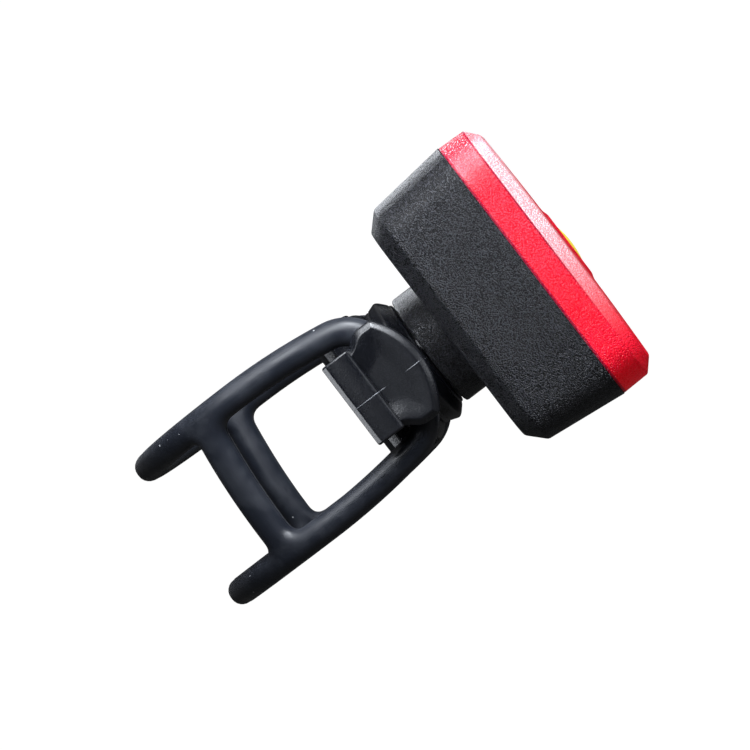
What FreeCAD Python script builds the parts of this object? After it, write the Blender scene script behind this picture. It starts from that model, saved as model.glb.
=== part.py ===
import FreeCAD, Part
import math
import os

from FreeCAD import Vector

# Compact bicycle tail light on a twist-lock seat-post bracket with a rubber ladder strap.
# Millimetres. Origin on the seat-post axis at mid height of the bracket. +Z runs up along the post.
# The light faces -Y. "Out" is the distance from the post axis towards the light, so y = -out.

# Post and saddle
POST_R = 13.6
PAD_T = 1.2
PAD_INSET = 0.3
PAD_TURN_INSET = 2.0
PAD_STUD_R = 1.2
PAD_STUD_H = 1.3
PAD_STUD_ANGLE = 31.0
SADDLE_T = 2.0
SADDLE_HALF_Z = 10.2
SADDLE_ANGLE = 40.0
PEDESTAL_R = 8.6
PEDESTAL_RISE = 1.7
PEDESTAL_FOOT = 8.9

# Strap
STRAP_T = 3.65
STRAP_HALF_Z = 11.7
RAIL_W = 3.5
FLANK_R = 90.0
FLANK_OUT = 14.6
CORNER_R = 7.0
CORNER_TURN = 60.0
BAR_START = 10.5
BAR_FOOT = 2.28
WINDOW_CORNER_R = 2.2
REAR_CORNER_R = 1.8
STRAP_EDGE_R = 1.4
SHARP_TURN = 30.0

# Hooks
LIP_GAP = 0.25
LIP_T = 2.1
LIP_HALF_Z = 7.15
LIP_RIM = 1.0
LIP_OVERHANG = 4.45
LIP_TIP_R = 11.4
LIP_CORNER_R = 1.3
LIP_FLARE = 1.3
BAR_RISE = 1.0
BAR_DEPTH = 3.0
BAR_HALF_Z = 5.75
VALLEY_DEPTH = 0.85
NECK_DEPTH = 5.6
NECK_HALF_Z = 5.5
NECK_GAP = 0.25
ARM_SAG = 1.3
ARM_STEP = 0.8
DISH_SAG = 0.6
BAR_SETBACK = 0.2
BAR_LEAN = 0.2
BAR_NOSE = 0.9
BAR_CROWN_BACK = 1.6
BAR_SLOPE = 0.5
VALLEY_RUN = 0.8

# Twist lock
SOCKET_H = 3.57
SOCKET_R = 9.19
SOCKET_TOP_R = 7.65
SOCKET_BEVEL = 1.55
SOCKET_EDGE = 0.35
LUG_R = 6.8
LUG_T = 1.35
LUG_ANGLE = 50.0
FOOT_NECK_R = 5.0
TWIST = 90.0
STOP_ANGLE = 36.0
SLOT_MARGIN = 3.0
TWIST_CLEARANCE = 0.15
BOSS_GAP = 0.28
BOSS_R = 8.05
BOSS_H = 3.85
BOSS_FILLET = 0.7
BOSS_EDGE_R = 0.4
TENON_W = 6.4
TENON_H = 2.4
SCREW_TIP_GAP = 0.1

# Light housing and lens
SEAM_HALF = 19.1
HOUSING_H = 13.1
HOUSING_DRAFT = 6.0
BACK_CHAMFER = 2.15
SEAM_CORNER_R = 5.6
HOUSING_WALL = 1.6
REBATE_W = 0.8
REBATE_H = 2.6
LENS_SIDE = 3.7
LENS_DRAFT = 2.0
LENS_CHAMFER = 1.6
LENS_CROWN = 0.3
LENS_WALL = 1.5
SEAM_STEP = 0.08
TONGUE_H = 1.9
COLLAR_R = 5.4
COLLAR_H = 0.22
COLLAR_SLOPE = 0.7
COLLAR_ROOT = 0.3
LENS_CORNER_STEP = 0.2
TONGUE_GAP = 0.1
LENS_SCREW_GAP = 0.2
POST_GAP = 0.1
CORNER_SHRINK = 0.65

# Fasteners
SCREW_SHAFT_R = 0.95
SCREW_HEAD_R = 1.75
SCREW_HEAD_T = 1.3
SCREW_INSET = 6.2
SCREW_RECESS = 0.25
POST_BOSS_R = 2.5
LENS_BOSS_R = 2.3
LENS_BOSS_H = 4.9
LENS_SKIN = 0.9
FOOT_SCREW_LENGTH = 6.6
SOCKET_SCREW_LENGTH = 5.4
SOCKET_SCREW_SINK = 0.6
BOARD_SCREW_LENGTH = 4.0
BOARD_SCREW_HEAD_R = 1.6
BOARD_SCREW_HEAD_T = 0.9
HOLE_CLEARANCE = 0.1
THREAD_CLEARANCE = 0.02
DRIVE_R = 0.75
DRIVE_DEPTH = 0.7

# Inside of the light
CELL_PAD_T = 0.6
CELL_T = 4.2
CELL_SIDE_GAP = 1.2
CELL_FOOT_GAP = 1.35
CELL_HEAD_INSET = 5.0
CELL_EDGE_R = 1.6
CELL_PAD_INSET = 1.0
CELL_PAD_R = 1.0
TAB_W = 2.0
TAB_T = 0.3
TAB_X = 4.5
BOARD_SPACE = 6.6
BOARD_INSET = 3.5
BOARD_T = 1.0
BOARD_CORNER_R = 2.0
STANDOFF_INSET = 2.4
STANDOFF_R = 2.1
LED_W = 3.5
LED_T = 0.9
LED_DOME_R = 1.25
SWITCH_W = 4.6
SWITCH_T = 1.6
SWITCH_PIN_R = 1.1
SWITCH_PIN_H = 1.7
SWITCH_PIN_SINK = 1.0
CHIP_T = 1.1
DRIVER_W = 4.0
DRIVER_X = 5.0
DRIVER_Z = 3.0
COIL_W = 3.2
COIL_H = 2.5
COIL_X = 5.0
COIL_Z = 2.5
FUSE_W = 2.8
FUSE_H = 1.6
FUSE_X = 3.5
FUSE_Z = 4.5
REFLECTOR_INSET = 3.9
REFLECTOR_T = 0.8
REFLECTOR_CORNER_R = 3.0
BOSS_RELIEF = 4.0
CUP_EDGE = 1.6
CUP_LAND = 0.4
CUP_BACK_R = 2.6
CUP_WALL = 0.7
LEG_R = 1.3
LEG_INSET = 1.8
STEM_TUBE_R = 3.0
DIFFUSER_T = 0.8
DIFFUSER_GAP = 1.08
SEAT = 0.02
PART_CLEARANCE = 0.4

# Button
BUTTON_R = 3.6
BUTTON_PROUD = 0.5
BUTTON_DOME = 0.55
BUTTON_TRAVEL = 0.5
BUTTON_FLANGE_R = 4.7
BUTTON_FLANGE_T = 0.7
BUTTON_FLANGE_GAP = 0.25
BUTTON_STEM_R = 1.6
BUTTON_CLEARANCE = 0.1

# Charging port
USB_W = 8.94
USB_H = 3.16
USB_L = 7.3
USB_WALL = 0.3
USB_TONGUE_W = 6.6
USB_TONGUE_T = 0.7
USB_SETBACK = 0.25
PORT_W = 9.6
PORT_H = 3.9
COVER_W = 12.6
COVER_H = 6.2
COVER_T = 0.85
COVER_CLEARANCE = 0.15
PLUG_TONGUE_W = 8.9
PLUG_TONGUE_H = 3.2
PLUG_TONGUE_T = 0.65
ANCHOR_H = 1.6
PULL_TAB_W = 3.0
RECESS_R = 0.7
PORT_R = 1.5
COVER_R = 1.1
TONGUE_R = 1.3
ANCHOR_R = 0.6
USB_FLOOR = 1.2
USB_TONGUE_SETBACK = 0.8
USB_TONGUE_ROOT = 0.2
USB_END_EASE = 0.05

# How far bodies that cut or join run past a face
PAST = 1.0
ROOT = 0.5

# Worked-out places
PAD_R = POST_R + PAD_T
SADDLE_R = PAD_R + SADDLE_T
SOCKET_OUT = SADDLE_R + PEDESTAL_RISE
SOCKET_TOP_OUT = SOCKET_OUT + SOCKET_H
BOSS_OUT = SOCKET_TOP_OUT + BOSS_GAP
BACK_OUT = BOSS_OUT + BOSS_H
SEAM_OUT = BACK_OUT + HOUSING_H
CHAMFER_OUT = BACK_OUT + BACK_CHAMFER
LENS_EDGE_OUT = SEAM_OUT + LENS_SIDE
FRONT_OUT = LENS_EDGE_OUT + LENS_CHAMFER
CROWN_OUT = FRONT_OUT + LENS_CROWN
LENS_INNER_OUT = FRONT_OUT - LENS_WALL
CHAMFER_HALF = SEAM_HALF - (HOUSING_H - BACK_CHAMFER) * math.tan(math.radians(HOUSING_DRAFT))
BACK_HALF = CHAMFER_HALF - BACK_CHAMFER
LENS_HALF = SEAM_HALF - SEAM_STEP
LENS_EDGE_HALF = LENS_HALF - LENS_SIDE * math.tan(math.radians(LENS_DRAFT))
FRONT_HALF = LENS_EDGE_HALF - LENS_CHAMFER
FLOOR_OUT = BACK_OUT + HOUSING_WALL
SCREW_XZ = SEAM_HALF - SCREW_INSET
BOARD_HALF = SEAM_HALF - BOARD_INSET
STANDOFF_X = BOARD_HALF - STANDOFF_INSET
REFLECTOR_HALF = SEAM_HALF - REFLECTOR_INSET
CUP_FRONT_R = REFLECTOR_HALF / 2 - CUP_EDGE
LED_XZ = REFLECTOR_HALF / 2 + CUP_LAND
LEG_X = REFLECTOR_HALF - LEG_INSET
STOP_CENTRE = TWIST / 2 + 90
ROOF_OUT = SOCKET_OUT + 2 * TWIST_CLEARANCE + LUG_T
REBATE_OUT = SEAM_OUT - REBATE_H
LENS_BOSS_OUT = LENS_INNER_OUT - LENS_BOSS_H
CELL_OUT = FLOOR_OUT + CELL_PAD_T
BOARD_OUT = FLOOR_OUT + BOARD_SPACE
BOARD_FRONT = BOARD_OUT + BOARD_T
DIFFUSER_OUT = LENS_INNER_OUT - DIFFUSER_GAP - DIFFUSER_T
REFLECTOR_OUT = DIFFUSER_OUT - SEAT - REFLECTOR_T
LIP_UNDER = POST_R + STRAP_T + LIP_GAP
LIP_TOP = LIP_UNDER + LIP_T
PORT_OUT = BOARD_OUT - SEAT - USB_H / 2
PORT_HALF = SEAM_HALF - (SEAM_OUT - PORT_OUT) * math.tan(math.radians(HOUSING_DRAFT))
USB_MOUTH = PORT_HALF - HOUSING_WALL - USB_SETBACK
CELL_W = 2 * (STANDOFF_X - STANDOFF_R - CELL_SIDE_GAP)
CELL_FOOT = USB_L - USB_MOUTH + CELL_FOOT_GAP
CELL_HEAD = SEAM_HALF - CELL_HEAD_INSET
CELL_L = CELL_HEAD - CELL_FOOT
CELL_Z = (CELL_HEAD + CELL_FOOT) / 2


def v(x, out, z):
    return Vector(x, -out, z)


def ball(radius, out, x=0.0, z=0.0):
    """Sphere with its poles on the light's axis."""
    return Part.makeSphere(radius, v(x, out, z), Vector(0, -1, 0))


def disc(radius, out0, out1, x=0.0, z=0.0):
    """Cylinder along the light's own axis, between two distances from the post."""
    return Part.makeCylinder(radius, out1 - out0, v(x, out0, z), Vector(0, -1, 0))


def block(width, height, out0, out1, x=0.0, z=0.0):
    """Box centred on x and z, between two distances from the post."""
    return Part.makeBox(width, out1 - out0, height, Vector(x - width / 2, -out1, z - height / 2))


def section(half_x, half_z, radius, out, x=0.0, z=0.0):
    """Closed rounded rectangle facing the light's axis."""
    corners = ((1, 1, 0), (-1, 1, 90), (-1, -1, 180), (1, -1, 270))
    points = []
    for side_x, side_z, start in corners:
        cx = x + side_x * (half_x - radius)
        cz = z + side_z * (half_z - radius)
        for step in (0, 45, 90):
            a = math.radians(start + step)
            points.append(v(cx + radius * math.cos(a), out, cz + radius * math.sin(a)))
    edges = []
    for i in range(4):
        p, q, r = points[3 * i : 3 * i + 3]
        edges.append(Part.Arc(p, q, r).toShape())
        edges.append(Part.makeLine(r, points[(3 * i + 3) % 12]))
    return Part.Wire(edges)


def tapered(stations):
    """Ruled body through rounded squares given as (half, corner radius, out)."""
    return Part.makeLoft([section(half, half, radius, out) for half, radius, out in stations], True, True)


def slab(half_x, half_z, radius, out0, out1, x=0.0, z=0.0):
    """Rounded plate of one thickness."""
    return Part.Face(section(half_x, half_z, radius, out0, x, z)).extrude(Vector(0, out0 - out1, 0))


def turned(points):
    """Body of revolution about the light's axis from (radius, out) points."""
    wire = Part.makePolygon([v(r, out, 0) for r, out in points + points[:1]])
    return Part.Face(wire).revolve(Vector(0, 0, 0), Vector(0, 1, 0), 360)


def strip_face(ends, rise):
    """Flat four-cornered face: a line between two points, carried along the rise."""
    p, q = ends
    return Part.Face(Part.makePolygon([p, q, q + rise, p + rise, p]))


def wedge(r0, r1, out0, out1, centre, width):
    """Sector of a ring about the light's axis. Angles are seen from the light, anticlockwise from +X."""
    a0 = math.radians(centre - width / 2)
    points = [v(r * math.cos(a0), out0, r * math.sin(a0)) for r in (r0, r1)]
    rise = Vector(0, out0 - out1, 0)
    return strip_face(points, rise).revolve(Vector(0, 0, 0), Vector(0, -1, 0), width)


def post_sector(r0, r1, half_z, start, turn):
    """Part of a tube about the post, from a start angle over a turn, both anticlockwise from +X."""
    a0 = math.radians(start)
    ends = [Vector(r * math.cos(a0), r * math.sin(a0), -half_z) for r in (r0, r1)]
    return strip_face(ends, Vector(0, 0, 2 * half_z)).revolve(Vector(0, 0, 0), Vector(0, 0, 1), turn)


def light_side_sector(r0, r1, half_z, half_angle):
    """Part of a tube about the post, centred on the side of the light."""
    return post_sector(r0, r1, half_z, -90 - half_angle, 2 * half_angle)


def fused(shapes):
    """One solid from overlapping or touching ones, with the seams between them removed."""
    return shapes[0].fuse(shapes[1:]).removeSplitter()


def mirrored(shape):
    """The same shape on the other side of the post."""
    return shape.mirror(Vector(0, 0, 0), Vector(1, 0, 0))


def four_corners(offset):
    return [(sx * offset, sz * offset) for sx in (-1, 1) for sz in (-1, 1)]


def screw(head_out, length, x, z, head_r=SCREW_HEAD_R, head_t=SCREW_HEAD_T):
    """Pan-head screw whose head faces the post, with a cross recess."""
    body = disc(head_r, head_out, head_out + head_t, x, z)
    body = body.fuse(disc(SCREW_SHAFT_R, head_out + head_t, head_out + head_t + length, x, z))
    for width, height in ((2 * DRIVE_R, DRIVE_R / 2), (DRIVE_R / 2, 2 * DRIVE_R)):
        body = body.cut(block(width, height, head_out, head_out + DRIVE_DEPTH, x, z))
    return body.removeSplitter()


def half_at(out):
    """Half width of the housing's outside at a distance from the post."""
    if out < CHAMFER_OUT:
        return BACK_HALF + out - BACK_OUT
    return SEAM_HALF - (SEAM_OUT - out) * math.tan(math.radians(HOUSING_DRAFT))


def corner_at(half):
    """Corner radius of the housing where its half width is the given one."""
    return SEAM_CORNER_R - (SEAM_HALF - half) * CORNER_SHRINK


def cavity_stations(wall, out1):
    """Inside of the housing at an even wall, from its floor to the given distance."""
    slope = math.tan(math.radians(HOUSING_DRAFT))
    side = wall / math.cos(math.radians(HOUSING_DRAFT))
    floor_half = BACK_HALF + wall - wall * math.sqrt(2)
    knee = (CHAMFER_HALF - side - floor_half - BACK_CHAMFER * slope + wall) / (1 - slope)
    knee_half = floor_half + knee - wall
    last_half = half_at(out1) - side
    return [
        (floor_half, corner_at(floor_half + wall), BACK_OUT + wall),
        (knee_half, corner_at(knee_half + wall) - wall / 2, BACK_OUT + knee),
        (last_half, SEAM_CORNER_R - wall, out1),
    ]


def ring_outline(inset):
    """Three (out, z) points on each of the arcs of the strap's ring end, drawn in by the inset."""
    flank = FLANK_R - inset
    corner = CORNER_R - inset
    flank_cz = STRAP_HALF_Z - FLANK_R
    turn0 = math.asin(FLANK_OUT / FLANK_R)
    turn1 = math.radians(CORNER_TURN)
    corner_out = (FLANK_R - CORNER_R) * math.sin(turn0)
    corner_cz = flank_cz + (FLANK_R - CORNER_R) * math.cos(turn0)
    tip_r = CORNER_R + corner_cz / math.cos(turn1)
    tip_c = corner_out - (tip_r - CORNER_R) * math.sin(turn1)
    arcs = []
    for c_out, c_z, radius, t0, t1 in (
        (0.0, flank_cz, flank, 0.0, turn0),
        (corner_out, corner_cz, corner, turn0, turn1),
        (tip_c, 0.0, tip_r - inset, turn1, math.pi / 2),
    ):
        turns = (t0, (t0 + t1) / 2, t1)
        arcs.append([(c_out + radius * math.sin(t), c_z + radius * math.cos(t)) for t in turns])
    return arcs


def ring_tip_out():
    """How far out the strap's ring reaches."""
    return ring_outline(0.0)[2][2][0]


def ring_prism(inset, x0, x1, back_y, back_r):
    """Prism across the post with the ring's outline, closed at the back by a straight edge."""
    arcs = ring_outline(inset)
    half = STRAP_HALF_Z - inset
    edges = []
    for side in (1, -1):
        for arc in arcs:
            edges.append(Part.Arc(*[Vector(x0, -out, side * z) for out, z in arc]).toShape())
    corner = back_r * (1 - math.sqrt(0.5))
    for side in (1, -1):
        p = Vector(x0, back_y - back_r, side * half)
        q = Vector(x0, back_y - corner, side * (half - corner))
        r = Vector(x0, back_y, side * (half - back_r))
        edges.append(Part.Arc(p, q, r).toShape())
        edges.append(Part.makeLine(Vector(x0, 0, side * half), p))
    edges.append(Part.makeLine(Vector(x0, back_y, half - back_r), Vector(x0, back_y, back_r - half)))
    wire = Part.Wire(Part.__sortEdges__(edges))
    return Part.Face(wire).extrude(Vector(x1 - x0, 0, 0))


def straight_edges(shape, direction):
    """Straight edges along a direction."""
    lines = [e for e in shape.Edges if isinstance(e.Curve, Part.Line)]
    return [e for e in lines if abs(e.tangentAt(e.FirstParameter).dot(direction)) > 0.99]


def sharp_edges(shape):
    """Edges at which two faces really turn, so that seams between tangent faces are left out."""
    found = []
    for edge in shape.Edges:
        middle = edge.valueAt((edge.FirstParameter + edge.LastParameter) / 2)
        faces = shape.ancestorsOfType(edge, Part.Face)
        normals = [f.normalAt(*f.Surface.parameter(middle)) for f in faces]
        if len(normals) == 2 and math.degrees(normals[0].getAngle(normals[1])) > SHARP_TURN:
            found.append(edge)
    return found


def strap_ring():
    """Flat band that passes the near side of the post and closes in front of the hook, without its window."""
    outer_r = POST_R + STRAP_T
    ring = ring_prism(0.0, -outer_r, -POST_R, 2 * STRAP_T, STRAP_T)
    height = 4 * STRAP_HALF_Z
    behind = Part.makeBox(2 * outer_r, 4 * STRAP_T, height, Vector(-2 * outer_r, 0, -height / 2))
    return ring.cut(behind)


def make_strap():
    """Ladder strap: a ring at each hook, two rails round the back of the post, a bar beside each ring."""
    outer_r = POST_R + STRAP_T
    ring = strap_ring()
    body = fused([post_sector(POST_R, outer_r, STRAP_HALF_Z, 0, 180), ring, mirrored(ring)])
    bar_y = outer_r * math.sin(math.radians(BAR_START))
    window = ring_prism(RAIL_W, -outer_r - PAST, -POST_R / 2, bar_y, WINDOW_CORNER_R)
    body = body.cut(window).cut(mirrored(window))
    start = math.degrees(math.asin((bar_y + BAR_FOOT) / POST_R))
    gap = post_sector(POST_R - PAST, outer_r + PAST, STRAP_HALF_Z - RAIL_W, start, 180 - 2 * start)
    across = Vector(math.cos(math.radians(start)), math.sin(math.radians(start)), 0)
    corners = straight_edges(gap, across) + straight_edges(gap, Vector(-across.x, across.y, 0))
    body = body.cut(gap.makeFillet(REAR_CORNER_R, corners))
    return body.makeFillet(STRAP_EDGE_R, sharp_edges(body))


def near(point, z):
    """A point of the near side given as (distance from the post's middle plane, out)."""
    return Vector(-point[0], -point[1], z)


def neck_ends():
    """Front and back of the hook's neck, as distances towards the light."""
    front = ring_tip_out() - RAIL_W - NECK_GAP
    return front, front - NECK_DEPTH


def hook_neck():
    """Arm and neck of the near hook: a dished web from the pedestal out through the strap's ring."""
    front, back = neck_ends()
    root_x = PEDESTAL_R - PAST
    arm_out = SOCKET_OUT - ARM_STEP
    base = [(root_x, back), (root_x, arm_out), (PEDESTAL_R, arm_out)]
    loop = [(POST_R, front), (LIP_UNDER, front), (LIP_UNDER, back), base[0]]
    z = -NECK_HALF_Z
    edges = [Part.makeLine(near(a, z), near(b, z)) for a, b in zip(base, base[1:])]
    edges += [Part.makeLine(near(a, z), near(b, z)) for a, b in zip(loop, loop[1:])]
    dip = ((PEDESTAL_R + POST_R) / 2, front - ARM_SAG)
    edges.append(Part.Arc(near(base[-1], z), near(dip, z), near(loop[0], z)).toShape())
    wire = Part.Wire(Part.__sortEdges__(edges))
    web = Part.Face(wire).extrude(Vector(0, 0, 2 * NECK_HALF_Z))
    return web.common(ring_prism(RAIL_W + NECK_GAP, -LIP_UNDER - PAST, 0, 2 * STRAP_T, STRAP_T))


def hook_plan(bar_back, bar_front, tip):
    """Outline of the lip seen from the side: straight at the bar, flared out, then round at the tip."""
    flare_out = bar_front + LIP_FLARE * (LIP_HALF_Z - BAR_HALF_Z)
    bar = [(bar_back - PAST, BAR_HALF_Z), (bar_front, BAR_HALF_Z)]
    half = bar + [(flare_out, LIP_HALF_Z), (tip + PAST, LIP_HALF_Z)]
    outline = half + [(out, -z) for out, z in reversed(half)]
    height = LIP_T + BAR_RISE + 2 * PAST
    inner_x = LIP_UNDER - PAST
    wire = Part.makePolygon([near((inner_x, out), z) for out, z in outline + outline[:1]])
    plan = Part.Face(wire).extrude(Vector(-height, 0, 0))
    arc_out = tip - LIP_TIP_R
    round_tip = Part.makeCylinder(LIP_TIP_R, height, near((inner_x, arc_out), 0), Vector(-1, 0, 0))
    straight = Part.makeBox(height, LIP_TIP_R, 2 * LIP_TIP_R, near((inner_x + height, arc_out), -LIP_TIP_R))
    plan = plan.common(round_tip.fuse(straight)).removeSplitter()
    across = straight_edges(plan, Vector(1, 0, 0))
    return plan.makeFillet(LIP_CORNER_R, [e for e in across if -e.CenterOfMass.y > arc_out + LIP_TIP_R / 2])


def hook_lip():
    """Lip of the near hook: bevelled rim, dished face, valley and raised bar, cut to its D-shaped outline."""
    front, back = neck_ends()
    tip = front + LIP_OVERHANG
    bar_back = back + BAR_SETBACK
    bar_front = bar_back + BAR_DEPTH
    valley = LIP_TOP - VALLEY_DEPTH
    valley_out = bar_front + VALLEY_RUN
    bar_top = LIP_TOP + BAR_RISE
    shoulder = (bar_top - BAR_SLOPE, bar_front - BAR_LEAN)
    nose = (bar_top - BAR_NOSE, bar_back)
    rim = [
        (LIP_UNDER, bar_back + BAR_LEAN),
        (LIP_UNDER, tip),
        (LIP_TOP - LIP_RIM, tip),
        (LIP_TOP, tip - LIP_RIM),
    ]
    arcs = [
        (rim[-1], (LIP_TOP - DISH_SAG, (tip + valley_out) / 2), (valley, valley_out)),
        ((valley, valley_out), ((valley + shoulder[0]) / 2 - BAR_LEAN, bar_front + BAR_LEAN), shoulder),
        (shoulder, (bar_top, bar_back + BAR_CROWN_BACK), nose),
    ]
    z = -LIP_HALF_Z
    edges = [Part.makeLine(near(a, z), near(b, z)) for a, b in zip(rim, rim[1:])]
    edges += [Part.Arc(near(a, z), near(b, z), near(c, z)).toShape() for a, b, c in arcs]
    edges.append(Part.makeLine(near(nose, z), near(rim[0], z)))
    lip = Part.Face(Part.Wire(edges)).extrude(Vector(0, 0, 2 * LIP_HALF_Z))
    return lip.common(hook_plan(bar_back, bar_front, tip))


def make_bracket_core():
    """Saddle with its pedestal, arms and hooks, with the holes of the socket screws and the pad's studs."""
    saddle = light_side_sector(PAD_R, SADDLE_R, SADDLE_HALF_Z, SADDLE_ANGLE)
    bore = Part.makeCylinder(PAD_R, 4 * SADDLE_HALF_Z, Vector(0, 0, -2 * SADDLE_HALF_Z))
    foot = [(0, PEDESTAL_FOOT), (SADDLE_HALF_Z, PEDESTAL_FOOT), (SADDLE_HALF_Z, PAD_R)]
    pedestal = turned(foot + [(PEDESTAL_R, SOCKET_OUT), (0, SOCKET_OUT)])
    neck = hook_neck()
    lip = hook_lip()
    core = fused([saddle, pedestal, neck, mirrored(neck), lip, mirrored(lip)]).cut(bore)
    for x, z in socket_screw_places():
        core = core.cut(disc(SCREW_HEAD_R + HOLE_CLEARANCE, 0, socket_screw_seat(), x, z))
        core = core.cut(disc(SCREW_SHAFT_R + HOLE_CLEARANCE, 0, SOCKET_OUT + PAST, x, z))
    for angle in (-PAD_STUD_ANGLE, PAD_STUD_ANGLE):
        core = core.cut(pad_stud(angle, PAD_STUD_R + HOLE_CLEARANCE, PAD_STUD_H + HOLE_CLEARANCE))
    return core.removeSplitter()


def socket_screw_places():
    """The two stop blocks of the socket, each with a screw through it."""
    radius = LUG_R + TWIST_CLEARANCE
    angles = [math.radians(STOP_CENTRE + turn) for turn in (0, 180)]
    return [(radius * math.cos(a), radius * math.sin(a)) for a in angles]


def socket_screw_seat():
    x = socket_screw_places()[0][0]
    return math.sqrt(PAD_R**2 - x**2) + SOCKET_SCREW_SINK + SCREW_HEAD_T


def pad_stud(angle, radius, height):
    """Stud square to the saddle face, at an angle from the light's direction."""
    a = math.radians(angle)
    direction = Vector(math.sin(a), -math.cos(a), 0)
    return Part.makeCylinder(radius, height + PAD_T / 2, direction * (PAD_R - PAD_T / 2), direction)


def make_saddle_pad():
    """Rubber lining of the saddle, held by two studs."""
    lining = light_side_sector(POST_R, PAD_R, SADDLE_HALF_Z - PAD_INSET, SADDLE_ANGLE - PAD_TURN_INSET)
    studs = [pad_stud(angle, PAD_STUD_R, PAD_STUD_H) for angle in (-PAD_STUD_ANGLE, PAD_STUD_ANGLE)]
    return fused([lining] + studs)


def make_twist_socket():
    """Round flange with two entry slots in its roof, a lug chamber and two stop blocks."""
    rim_out = SOCKET_TOP_OUT - SOCKET_BEVEL
    flank = [(PEDESTAL_R, SOCKET_OUT), (SOCKET_R, rim_out), (SOCKET_R - SOCKET_EDGE, rim_out + SOCKET_EDGE)]
    body = turned([(0, SOCKET_OUT)] + flank + [(SOCKET_TOP_R, SOCKET_TOP_OUT), (0, SOCKET_TOP_OUT)])
    neck_r = FOOT_NECK_R + TWIST_CLEARANCE
    chamber_r = LUG_R + TWIST_CLEARANCE
    chamber = disc(chamber_r, SOCKET_OUT, ROOF_OUT)
    for centre in (STOP_CENTRE, STOP_CENTRE + 180):
        chamber = chamber.cut(wedge(neck_r, LUG_R + PAST, SOCKET_OUT, ROOF_OUT, centre, STOP_ANGLE))
    body = body.cut(chamber).cut(disc(neck_r, SOCKET_OUT, SOCKET_TOP_OUT + PAST))
    slot_angle = LUG_ANGLE + 2 * SLOT_MARGIN
    for centre in (TWIST, TWIST + 180):
        body = body.cut(wedge(ROOT, chamber_r, ROOF_OUT - ROOT, SOCKET_TOP_OUT + PAST, centre, slot_angle))
    hole_end = socket_screw_seat() + SOCKET_SCREW_LENGTH + SCREW_TIP_GAP
    for x, z in socket_screw_places():
        body = body.cut(disc(SCREW_SHAFT_R + THREAD_CLEARANCE, SOCKET_OUT - PAST, hole_end, x, z))
    return body.removeSplitter()


def make_twist_foot():
    """Neck with two bayonet lugs and a square tenon that sits in the housing's boss."""
    foot_out = SOCKET_OUT + TWIST_CLEARANCE
    body = disc(FOOT_NECK_R, foot_out, BOSS_OUT)
    for turn in (0, 180):
        body = body.fuse(wedge(ROOT, LUG_R, foot_out, foot_out + LUG_T, turn, LUG_ANGLE))
    body = body.fuse(block(TENON_W, TENON_W, BOSS_OUT, BOSS_OUT + TENON_H))
    body = body.cut(disc(SCREW_HEAD_R + HOLE_CLEARANCE, foot_out, foot_screw_seat()))
    body = body.cut(disc(SCREW_SHAFT_R + HOLE_CLEARANCE, foot_out, BACK_OUT))
    return body.removeSplitter()


def foot_screw_seat():
    return SOCKET_OUT + TWIST_CLEARANCE + SCREW_RECESS + SCREW_HEAD_T


def port_frame(shape):
    """Moves a shape drawn on the flat (x, along the wall, out of the wall) onto the housing's lower wall."""
    a = math.radians(HOUSING_DRAFT)
    place = FreeCAD.Matrix()
    place.A21, place.A22, place.A23 = 0, -math.cos(a), math.sin(a)
    place.A31, place.A32, place.A33 = 0, -math.sin(a), -math.cos(a)
    place.A24 = -PORT_OUT
    place.A34 = -PORT_HALF
    moved = shape.copy()
    moved.transformShape(place)
    return moved


def flat_plate(width, height, radius, w0, w1, u=0.0):
    """Rounded plate for the port, between two depths of the wall (outwards positive)."""
    half_x = width / 2
    half_u = height / 2
    plate = Part.makeBox(width, height, w1 - w0, Vector(-half_x, u - half_u, w0))
    return plate.makeFillet(radius, straight_edges(plate, Vector(0, 0, 1)))


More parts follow.
